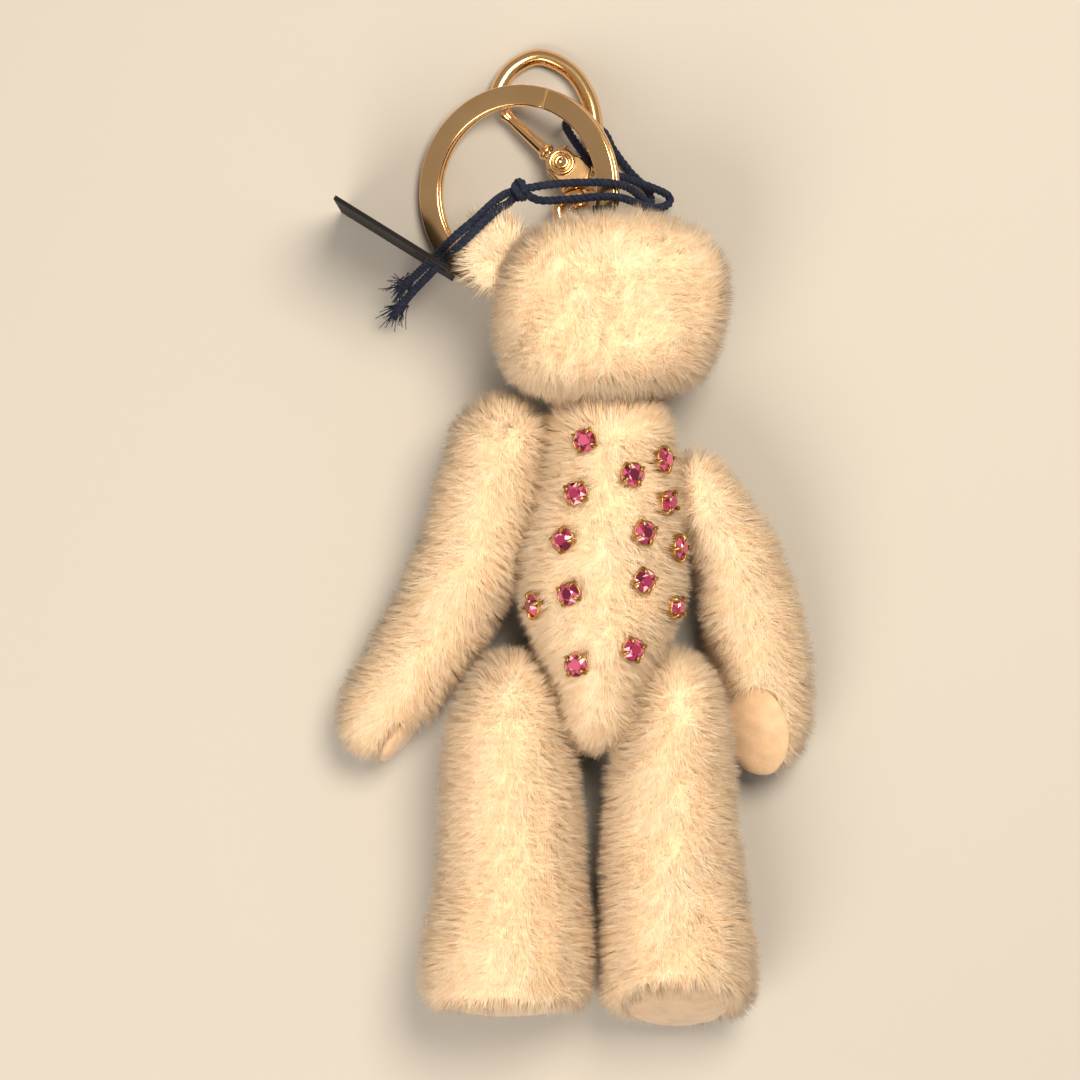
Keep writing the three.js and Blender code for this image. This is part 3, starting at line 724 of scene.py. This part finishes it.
def felt_patch(name, node, body):
    """A felt paw or sole: the solid's outline, rounded and slightly lumpy."""
    mesh = NODES[node].data.copy()
    mesh.materials.clear()
    thing = new_object(name, mesh, body, "felt")
    weld = thing.modifiers.new("weld", "WELD")
    weld.merge_threshold = 1e-6
    rounding = thing.modifiers.new("round", "SUBSURF")
    rounding.levels = 3
    apply_modifiers(thing)
    mesh = thing.data
    places, normals = places_and_normals(mesh)
    lumps = drift(places, 2.2 * MM, 5)[:, :1] * 0.05 * MM
    mesh.vertices.foreach_set("co", (places + normals * lumps).reshape(-1))
    mesh.materials.clear()
    mesh.materials.append(LOOKS["felt"])
    mesh.shade_smooth()
    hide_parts(node)
    return thing


HEAD_TURN = math.radians(14.5)


def in_head(x, y, z):
    """A place given in the head's own frame, whose origin is on the neck joint, in the row's frame."""
    neck = Vector(JOINTS["neck_turn"]["pos_m"])
    return neck + Matrix.Rotation(HEAD_TURN, 3, "Y") @ mm(x, y, z)


def make_head():
    skin = stuffed_skin("head_skin", "head", "head", ["neck_turn"])
    turn = Matrix.Rotation(HEAD_TURN, 3, "Y")
    seams = []
    for side in (-1, 1):
        across = turn @ Vector((1, side * 0.33, 0))
        seams.append(seam_plane(in_head(-1.2 + side * 2.2, 6, 0), across))
    nose_at = middle_of("nose")
    bare = [(NODES[n], 0.3 * MM) for n in ("left_eye", "right_eye", "nose", "leather_tab")]
    pile("head_pile", skin, "head", away_from(nose_at), 31, partings=seams, bare=bare, lean=0.25,
         rows=(0, 1, 0.2), next_to=("torso", "left_arm", "right_arm"))
    for side, seed in (("left", 41), ("right", 43)):
        node = side + "_ear"
        ear = stuffed_skin(node + "_skin", node, "head", [], inset=0.3 * MM)
        pile(node + "_pile", ear, "head", away_from(middle_of("head")), seed, length=2.9 * MM, lean=0.7)


# -------- face


NOSE_X, NOSE_Y = -1.2, 9.6
NOSE_THREADS = 13


def stitch(points, steps, radius):
    line = catmull_rom([in_head(*point) for point in points], steps)
    return as_lists(sweep("stitch", line, circle(radius, 8), hint=Vector((1, 0, 0))))


def make_face():
    """Bead eyes, and a nose and mouth worked in floss, on the side of the head that faces down."""
    for side in ("left", "right"):
        node = side + "_eye"
        low, high = (Vector(corner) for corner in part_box(node))
        radius = (high - low).length / 2 / math.sqrt(3)
        around = [(math.sin(a), -math.cos(a)) for a in np.linspace(0.12, math.pi - 0.12, 22)]
        profile = [(radius * r, radius * height) for r, height in [(0, -1)] + around + [(0, 1)]]
        mesh = joined(node + "_bead", [lathe(profile, 40)], Matrix.Translation(middle_of(node)))
        bead = new_object(node + "_bead", mesh, "head", "black_bead", LOOKS["bead"])
        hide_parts(node)
    stitches = []
    for t in np.linspace(-1, 1, NOSE_THREADS):
        half = 1.35 * (1 - 0.55 * t * t)
        x = NOSE_X + 2.0 * t
        points = [
            (x, NOSE_Y + half, -13.0), (x, NOSE_Y + 0.4 * half, -13.95),
            (x, NOSE_Y - 0.4 * half, -13.95), (x * 0.9 + NOSE_X / 10, NOSE_Y - half, -13.0),
        ]
        stitches.append(stitch(points, 5, 0.19 * MM))
    for points in (
        [(-1.2, 8.6, -13.7), (-1.2, 7.6, -13.9), (-1.2, 6.7, -13.4)],
        [(-1.2, 6.7, -13.4), (-2.3, 6.0, -12.9), (-3.4, 6.2, -12.2)],
        [(-1.2, 6.7, -13.4), (-0.1, 6.0, -12.9), (1.0, 6.2, -12.2)],
    ):
        stitches.append(stitch(points, 6, 0.2 * MM))
    floss = new_object("nose_floss", joined("nose_floss", stitches), "head", "black_thread", LOOKS["thread"])
    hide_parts("nose")


# -------- rhinestones

STONE = {"girdle": 1.6, "table": 0.72, "crown": 0.72, "base": 1.1, "rim": 1.72, "height": 1.8}
CROWN_FACETS = 8
PRONGS = 4


def stone_place(node):
    """Where a stone's setting stands, looking outwards and square to its solid's largest flat face."""
    mesh = NODES[node].data
    flats = {}
    for polygon in mesh.polygons:
        key = tuple(round(c, 2) for c in polygon.normal)
        flats.setdefault(key, []).append(polygon)
    widest = max(flats.values(), key=lambda group: sum(p.area for p in group))
    outward = sum((p.normal * p.area for p in widest), Vector()).normalized()
    middle = middle_of(node)
    spine = Vector((middle_of("torso").x, middle.y, middle_of("torso").z))
    if outward.dot(middle - spine) < 0:
        outward = -outward
    foot = min((v.co - middle).dot(outward) for v in mesh.vertices)
    turn = Vector((0, 1, 0)).rotation_difference(outward).to_matrix().to_4x4()
    return Matrix.Translation(middle + outward * foot) @ turn


def crystal(name, place, rng):
    """A chaton: a table, a ring of crown facets in two tiers, and a girdle."""
    s = {key: value * MM for key, value in STONE.items()}
    tiers = [
        (s["table"], s["height"] + s["crown"], 0.5),
        (s["table"] * 1.32, s["height"] + s["crown"] * 0.72, 0.0),
        (s["girdle"], s["height"] + 0.06 * MM, 0.5),
        (s["girdle"], s["height"] - 0.1 * MM, 0.5),
        (s["girdle"] * 0.5, s["height"] * 0.5, 0.5),
    ]
    vertices = []
    for radius, height, offset in tiers:
        for j in range(CROWN_FACETS):
            angle = 2 * math.pi * (j + offset) / CROWN_FACETS
            vertices.append(place @ Vector((radius * math.cos(angle), height, -radius * math.sin(angle))))
    n = CROWN_FACETS
    faces = [tuple(range(n))]
    for j in range(n):
        k = (j + 1) % n
        faces.append((j, n + k, k))
        faces.append((j, n + j, n + k))
        faces.append((n + k, 2 * n + j, 2 * n + k))
        faces.append((n + j, 2 * n + j, n + k))
        faces.append((2 * n + j, 3 * n + j, 3 * n + k, 2 * n + k))
        faces.append((3 * n + j, 4 * n + j, 4 * n + k, 3 * n + k))
    faces.append(tuple(4 * n + j for j in reversed(range(n))))
    mesh = mesh_of(name, vertices, faces, smooth=False)
    body = bmesh.new()
    body.from_mesh(mesh)
    bmesh.ops.recalc_face_normals(body, faces=body.faces)
    body.to_mesh(mesh)
    body.free()
    for polygon in mesh.polygons:
        # Each facet takes one of the four tones at random, painting the stone's brilliance: painted dark
        # reflections, painted lit facets and painted glints over the rose glass.
        polygon.material_index = int(rng.choice(4, p=(0.28, 0.36, 0.27, 0.09)))
    return mesh


def claw_setting(name, place):
    """A brass cup with a seat for the stone and four claws bent over its girdle."""
    base, rim, height = STONE["base"] * MM, STONE["rim"] * MM, STONE["height"] * MM
    wall = 0.16 * MM
    profile = [(0, 0), (base, 0), (base + wall, 0.1 * MM), (rim, height * 0.86), (rim, height),
               (rim - wall, height), (base * 0.9, height * 0.3), (0, height * 0.3)]
    parts = [lathe(profile, 24)]
    for i in range(PRONGS):
        turn = Matrix.Rotation(math.pi / 2 * (i + 0.5), 3, "Y")
        path = [
            Vector((base + 0.05 * MM, 0.1 * MM, 0)),
            Vector((rim + 0.02 * MM, height * 0.8, 0)),
            Vector((rim - 0.02 * MM, height + 0.34 * MM, 0)),
            Vector((rim - 0.42 * MM, height + 0.66 * MM, 0)),
            Vector((rim - 0.62 * MM, height + 0.62 * MM, 0)),
        ]
        claw = sweep("claw", catmull_rom(path, 4), circle(0.30 * MM, 8), hint=Vector((0, 0, 1)),
                     scale=lambda t: 1.0 - 0.25 * t)
        vertices, faces = as_lists(claw)
        parts.append(([turn @ v for v in vertices], faces))
    return joined(name, parts, place)


def make_rhinestones():
    rng = np.random.default_rng(7)
    for node in STONE_NODES:
        spin = Matrix.Rotation(rng.uniform(-0.5, 0.5), 4, "Y")
        place = stone_place(node) @ spin
        cup = claw_setting(node + "_setting", place)
        setting = new_object(node + "_setting", cup, "torso", "rhinestone", LOOKS["brass"])
        stone = crystal(node + "_crystal", place, rng)
        new_object(node + "_crystal", stone, "torso", "rhinestone", *LOOKS["facets"])
        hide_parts(node)


# -------- key hardware

# Lengths in mm and angles in degrees. start is where the ring's wire begins, and its two turns cross
# over within cross.
RING = {
    "middle": 13.5, "width": 3.0, "leaf": 1.0, "at": (-9.3, 50.1, 6.62), "tilt": 22, "start": 75, "cross": 20,
}
LINK = {"radius": 5.8, "wire": 0.75, "at": (2.6, 45.4, 9.9)}
CLASP = {"at": (-1.0, 49.3, 4.6), "lean": 12.2, "slope": -9.6, "bar": 1.05, "thick": 4.2}
BAIL = {"half": 3.2, "length": 6.0, "wire": 0.8, "turn": -15}
PIVOT = (-1.2, 5.0)
PLATE_R = 2.2
GATE_TIP = (-7.8, 14.7)
HOOK_LINE = [
    (2.2, 3.2), (3.9, 6.0), (4.6, 9.6), (4.6, 14.0), (2.9, 18.4),
    (-0.9, 21.3), (-4.9, 20.6), (-7.5, 18.2), (-8.1, 16.1),
]


def gold_piece(name, mesh, body, node=None):
    piece = new_object(name, mesh, body, "gold_plate", LOOKS["gold"])
    if node:
        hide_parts(node)
    return piece


def clasp_place():
    lean = Matrix.Rotation(math.radians(CLASP["lean"]), 4, "Z")
    slope = Matrix.Rotation(math.radians(CLASP["slope"]), 4, "X")
    return Matrix.Translation(on_charm(*CLASP["at"])) @ lean @ slope


def rounded_box(width, height, corner, steps=4):
    """Corner points of a rectangle with rounded corners, counter-clockwise."""
    points = []
    for quarter, (sx, sy) in enumerate(((1, -1), (1, 1), (-1, 1), (-1, -1))):
        for k in range(steps + 1):
            angle = math.pi / 2 * (quarter - 1 + k / steps)
            x = sx * (width / 2 - corner) + corner * math.cos(angle)
            y = sy * (height / 2 - corner) + corner * math.sin(angle)
            points.append((x, y))
    return points


def make_split_ring():
    """Two turns of flat polished wire that cross over where their ends meet."""
    turns, per_turn = 2, 120
    path = []
    for i in range(turns * per_turn):
        degrees = 360 * i / per_turn
        t = min(max((degrees - 360 + RING["cross"]) / RING["cross"], 0), 1)
        step = t * t * (3 - 2 * t)
        at = math.radians(degrees + RING["start"])
        height = (step - 0.5) * (RING["leaf"] + 0.1)
        path.append(mm(RING["middle"] * math.cos(at), RING["middle"] * math.sin(at), height))
    mesh = sweep("split_ring_coil", path, rounded_box(RING["width"] * MM, RING["leaf"] * MM, 0.3 * MM))
    place = Matrix.Translation(on_charm(*RING["at"])) @ Matrix.Rotation(-math.radians(RING["tilt"]), 4, "Y")
    mesh.transform(place)
    gold_piece("split_ring_coil", mesh, "ring", "split_ring")


def make_link():
    middle = on_charm(*LINK["at"])
    path = [middle + Vector((x, 0, z)) for x, z in circle(LINK["radius"] * MM, 72)]
    mesh = sweep("link_ring_wire", path, circle(LINK["wire"] * MM, 18), closed=True, hint=Vector((0, 1, 0)))
    gold_piece("link_ring_wire", mesh, "link", "link_ring")


def make_bail():
    """A rounded wire loop with a boss on its top bar, where the clasp swivels."""
    half, length, wire = BAIL["half"] * MM, BAIL["length"] * MM, BAIL["wire"] * MM
    outline = [Vector((x, y - length / 2, 0)) for x, y in rounded_box(2 * half, length, 1.3 * MM, 8)]
    loop = sweep("loop", outline, circle(wire, 16), closed=True)
    boss = tube_profile(1.28 * MM, 1.75 * MM, -wire, wire)
    place = clasp_place() @ Matrix.Rotation(math.radians(BAIL["turn"]), 4, "Y")
    mesh = joined("clasp_bail_loop", [as_lists(loop), boss], place)
    gold_piece("clasp_bail_loop", mesh, "bail", "clasp_bail")


def tube_profile(inner, outer, low, high, sides=36):
    """A short open tube about +Y with softened edges."""
    soft = 0.18 * MM
    ring = [(inner, low + soft), (inner + soft, low), (outer - soft, low), (outer, low + soft),
            (outer, high - soft), (outer - soft, high), (inner + soft, high), (inner, high - soft)]
    vertices, faces = [], []
    for radius, height in ring:
        for j in range(sides):
            angle = 2 * math.pi * j / sides
            vertices.append(Vector((radius * math.cos(angle), height, -radius * math.sin(angle))))
    for i in range(len(ring)):
        here, there = i * sides, ((i + 1) % len(ring)) * sides
        for j in range(sides):
            k = (j + 1) % sides
            faces.append((here + j, here + k, there + k, there + j))
    return vertices, faces


def plate(outline, thick):
    """A flat plate about z = 0 from a counter-clockwise outline."""
    count = len(outline)
    vertices = [Vector((x, y, z)) for z in (-thick / 2, thick / 2) for x, y in outline]
    faces = [tuple(reversed(range(count))), tuple(range(count, 2 * count))]
    for j in range(count):
        k = (j + 1) % count
        faces.append((j, k, count + k, count + j))
    return vertices, faces


def make_hook():
    """The hook, its bell and swivel post, and two cheeks that hold the gate's rivet between them."""
    place = clasp_place()
    line = catmull_rom([mm(x, y, 0) for x, y in HOOK_LINE], 10)
    wire = sweep("bar", line, circle(CLASP["bar"] * MM, 20), scale=lambda t: 1.22 - 0.10 * min(1, t * 2.2))
    bell = [
        (0, 0.95), (1.2, 0.95), (1.75, 1.05), (1.95, 1.35), (1.95, 1.6),
        (1.7, 1.85), (1.75, 2.3), (1.5, 2.7), (0, 2.7),
    ]
    post = [
        (0, -1.8), (1.4, -1.8), (1.6, -1.65), (1.6, -1.25), (1.4, -1.1), (0.9, -1.1), (0.9, 1.2), (0, 1.2),
    ]
    parts = [as_lists(wire)]
    for profile in (bell, post):
        parts.append(lathe([(r * MM, h * MM) for r, h in profile], 36))
    px, py = PIVOT
    cheek = [(-1.7, 1.5), (1.9, 1.5), (2.8, 2.9), (3.3, 4.6), (px + PLATE_R * 0.98, py + PLATE_R * 0.3)]
    arc = np.linspace(0.4, math.pi + 0.35, 24)
    cheek += [(px + PLATE_R * math.cos(a), py + PLATE_R * math.sin(a)) for a in arc]
    cheek = [(x * MM, y * MM) for x, y in cheek]
    leaf = 1.15
    shell = (CLASP["thick"] - leaf) / 2
    sides = []
    stand = Matrix.Translation(mm(px, py, 0)) @ Matrix.Rotation(math.pi / 2, 4, "X")
    for side in (-1, 1):
        vertices, faces = plate(cheek, leaf * MM)
        sides.append(([v + Vector((0, 0, side * shell * MM)) for v in vertices], faces))
        rim = CLASP["thick"] / 2 * MM
        ring_vertices, ring_faces = tube_profile(1.3 * MM, 1.95 * MM, rim - 0.3 * MM, rim + 0.28 * MM, 40)
        flip = Matrix.Scale(side, 4, (0, 1, 0))
        parts.append(([stand @ (flip @ v) for v in ring_vertices], [f[::side] for f in ring_faces]))
    web = [
        (-1.5, 1.5), (1.7, 1.5), (2.7, 2.9), (3.2, 4.6),
        (px + 2.5, py + 0.6), (px + 2.3, py - 1.4), (px + 0.6, py - 2.6),
    ]
    sides.append(plate([(x * MM, y * MM) for x, y in web], (CLASP["thick"] - 1.4) * MM))
    cheeks = gold_piece("clasp_cheeks", joined("clasp_cheeks", sides, place), "hook")
    soften_edges(cheeks, 0.34 * MM, 4)
    gold_piece("clasp_hook_bar", joined("clasp_hook_bar", parts, place), "hook", "clasp_hook")


def make_gate():
    """The gate: a tapering bar from an eye on the rivet, with a collar at its root and a thumb spur."""
    px, py = PIVOT
    start, end = mm(px, py, 0), mm(*GATE_TIP, 0)
    way = (end - start).normalized()
    reach = (end - start).length
    path = [start + way * d for d in np.linspace(0.9 * MM, reach - 0.3 * MM, 48)]

    def girth(t):
        """Thick at the root with a rounded collar, thin at the neck, and swelling again at the nose."""
        collar = 0.42 * math.exp(-(((t - 0.20) / 0.035) ** 2))
        nose = 0.28 * math.exp(-(((t - 0.96) / 0.06) ** 2))
        return 1.18 - 0.42 * t + collar + nose

    bar = sweep("bar", path, circle(0.90 * MM, 18), scale=girth)
    eye_vertices, eye_faces = tube_profile(0.72 * MM, 1.5 * MM, -0.7 * MM, 0.7 * MM)
    stand = Matrix.Translation(start) @ Matrix.Rotation(math.pi / 2, 4, "X")
    parts = [as_lists(bar), ([stand @ v for v in eye_vertices], eye_faces)]
    spur = [mm(px + 0.2, py + 0.9, 0), mm(px + 0.75, py + 1.9, 0), mm(px + 1.3, py + 2.7, 0)]
    horn = sweep("spur", catmull_rom(spur, 5), circle(0.62 * MM, 14), scale=lambda t: 1.0 - 0.45 * t)
    parts.append(as_lists(horn))
    lever = joined("clasp_gate_lever", parts, clasp_place())
    gold_piece("clasp_gate_lever", lever, "gate", "clasp_gate")


def make_rivet():
    """A turned rivet with a dimpled head on each side."""
    cheek = CLASP["thick"] / 2 + 0.02
    head = [(0, 0.12), (0.35, 0.16), (0.6, 0.42), (0.9, 0.44), (1.15, 0.22), (1.2, 0), (0.55, -0.02)]
    head = [(radius * MM, (cheek + height) * MM) for radius, height in head]
    profile = [(radius, -height) for radius, height in head] + head[::-1]
    stand = clasp_place() @ Matrix.Translation(mm(*PIVOT, 0)) @ Matrix.Rotation(math.pi / 2, 4, "X")
    pin = joined("clasp_rivet_pin", [lathe(profile, 36)], stand)
    gold_piece("clasp_rivet_pin", pin, "hook", "clasp_rivet")


def make_tab():
    """The folded leather tab, with its edges softened."""
    mesh = NODES["leather_tab"].data.copy()
    mesh.materials.clear()
    tab = new_object("leather_tab_strap", mesh, "head", "leather", LOOKS["leather"])
    weld = tab.modifiers.new("weld", "WELD")
    weld.merge_threshold = 1e-6
    soften_edges(tab, 0.12 * MM, 3, 50)
    tab.data.shade_smooth()
    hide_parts("leather_tab")


# -------- tag cord

CORD_DIAMETER = 1.2 * MM
KNOT_AT = (-9.2, 49.2, 17.6)
LOWER_TAIL = [
    (-26.2, 33.6, 6.4), (-24.2, 35.6, 10.4), (-21.6, 37.9, 15.0), (-19.6, 39.6, 19.2),
    (-17.0, 41.6, 23.6), (-14.4, 44.0, 24.4), (-12.0, 46.4, 21.6), (-10.6, 47.5, 18.0),
]
LOOP = [
    (-7.9, 49.6, 17.4), (-4.6, 50.2, 16.6), (-0.6, 50.5, 15.8), (3.4, 50.5, 15.0), (6.2, 50.0, 12.4),
    (8.4, 48.6, 8.2), (9.4, 48.2, 4.4), (9.2, 50.4, 1.8), (6.6, 53.2, 1.0), (4.2, 56.4, 0.9),
    (2.8, 59.0, 0.8), (0.6, 60.3, 0.8), (-1.6, 60.6, 1.7), (-2.6, 59.7, 3.8), (-1.5, 57.4, 5.9),
    (0.3, 54.9, 6.9), (2.6, 53.0, 7.4), (5.2, 52.0, 7.3), (8.6, 51.0, 5.6), (11.6, 49.9, 3.6),
    (12.2, 48.9, 3.2), (11.2, 48.0, 4.4), (8.9, 47.6, 8.2), (7.2, 47.9, 12.4), (4.9, 48.4, 15.8),
    (1.6, 48.4, 17.4), (-2.6, 48.0, 17.6), (-6.2, 47.9, 17.4), (-8.0, 48.6, 17.5),
]
UPPER_TAIL = [
    (-10.9, 48.8, 18.2), (-12.6, 47.4, 21.4), (-15.2, 44.8, 23.6), (-17.8, 42.7, 23.3),
    (-20.3, 40.6, 19.6), (-22.2, 39.0, 15.6), (-24.0, 37.6, 12.2), (-25.4, 36.6, 9.8),
]
PLIES = 3
TWIST_LENGTH = 2.6 * MM
CORD_STEP = 0.22 * MM
PLY_RADIUS = 0.285  # of the cord's diameter, and so is the next
PLY_OFFSET = 0.235
YARNS = 110
KNOT_STEPS = 64


def even_path(points, spacing):
    """The same line with its points an even distance apart."""
    lengths = np.cumsum([0] + [(b - a).length for a, b in zip(points, points[1:])])
    count = int(lengths[-1] / spacing) + 1
    line = np.array(points)
    wanted = np.linspace(0, lengths[-1], count)
    return [Vector([np.interp(d, lengths, line[:, k]) for k in range(3)]) for d in wanted]


def twisted(path, diameter, plies=PLIES):
    """Strands laid round a path like a rope's, as (vertices, faces) lists."""
    spacing = (path[1] - path[0]).length
    axes = frames_along(path)
    parts = []
    for k in range(plies):
        line = []
        for i, (point, (_, across, up)) in enumerate(zip(path, axes)):
            angle = 2 * math.pi * (i * spacing / TWIST_LENGTH + k / plies)
            line.append(point + (across * math.cos(angle) + up * math.sin(angle)) * diameter * PLY_OFFSET)
        parts.append(as_lists(sweep("ply", line, circle(diameter * PLY_RADIUS, 7))))
    return parts


def make_cord():
    """One piece of cord: from a frayed tail through the knot, round the ring and clasp, and back."""
    route = [on_charm(*p) for p in LOWER_TAIL + [KNOT_AT] + LOOP + [KNOT_AT] + UPPER_TAIL]
    path = even_path(catmull_rom(route, 8), CORD_STEP)
    for point in path:
        point.z = max(point.z, CORD_DIAMETER * (PLY_RADIUS + PLY_OFFSET))
    rope = joined("tag_cord", twisted(path, CORD_DIAMETER))
    cord = new_object("tag_cord", rope, "head", "cotton_cord", LOOKS["cord"])
    knot = make_knot()
    ends = make_frays(path)
    tag = make_tag()
    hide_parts("tag_cord_loop", "tag_cord_tail_upper", "tag_cord_tail_lower")
    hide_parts("tag_cord_knot")


def make_knot():
    """An overhand knot: two turns of the same cord wrapped about the place where the tails leave."""
    centre = on_charm(*KNOT_AT)
    points = []
    for t in np.linspace(0, 2 * math.pi, KNOT_STEPS + 1):
        r = (1.0 + 0.42 * math.cos(3 * t)) * 0.9
        points.append(centre + mm(0.62 * math.sin(3 * t), r * math.cos(2 * t), r * math.sin(2 * t)))
    path = even_path(points, 0.2 * MM)
    knot = joined("tag_cord_knot_wraps", twisted(path, CORD_DIAMETER * 0.95))
    return new_object("tag_cord_knot_wraps", knot, "head", "cotton_cord", LOOKS["cord"])


def make_frays(path):
    """The untwisted yarn ends that fan out of both cut ends."""
    rng = np.random.default_rng(19)
    parts = []
    for end, inner in ((path[0], path[6]), (path[-1], path[-7])):
        way = (end - inner).normalized()
        for _ in range(YARNS):
            spread = Vector(rng.normal(scale=0.24, size=3))
            start = inner + Vector(rng.normal(scale=0.30 * MM, size=3))
            middle = start + (way + spread * 0.5) * 1.5 * MM
            tip = start + (way + spread) * rng.uniform(2.4, 4.4) * MM
            tip.z = max(tip.z, 0.3 * MM)
            line = catmull_rom([start, middle, tip], 4)
            parts.append(as_lists(sweep("yarn", line, circle(0.10 * MM, 5), scale=lambda t: 1 - 0.5 * t)))
    return new_object("tag_cord_frays", joined("tag_cord_frays", parts), "head", "cotton_cord", LOOKS["cord"])


def make_tag():
    """The card on the cord, with its edges softened."""
    mesh = NODES["swing_tag"].data.copy()
    mesh.materials.clear()
    tag = new_object("swing_tag_card", mesh, "tag", "card", LOOKS["card"])
    soften_edges(tag, 0.1 * MM, 2, 40)
    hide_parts("swing_tag")
    return tag


# -------- inner joint pieces


def dress_joint_pieces():
    """The discs, pins and spring keep their solids' shapes and get their own materials."""
    for name, node in NODES.items():
        look = None
        if name.endswith("_disc"):
            look = LOOKS["board"]
        elif name.endswith("_pin") or name == "gate_spring":
            look = LOOKS["steel"]
        if look:
            node.data.materials.clear()
            node.data.materials.append(look)


# -------- the whole charm

LOOKS = make_materials()
make_camera()
make_stage()
make_cord()
make_split_ring()
make_link()
make_bail()
make_hook()
make_gate()
make_rivet()
make_tab()
make_torso()
make_limb("left", "arm", "left_shoulder", 51)
make_limb("right", "arm", "right_shoulder", 53)
make_limb("left", "leg", "left_hip", 61)
make_limb("right", "leg", "right_hip", 63)
make_head()
make_face()
make_rhinestones()
dress_joint_pieces()
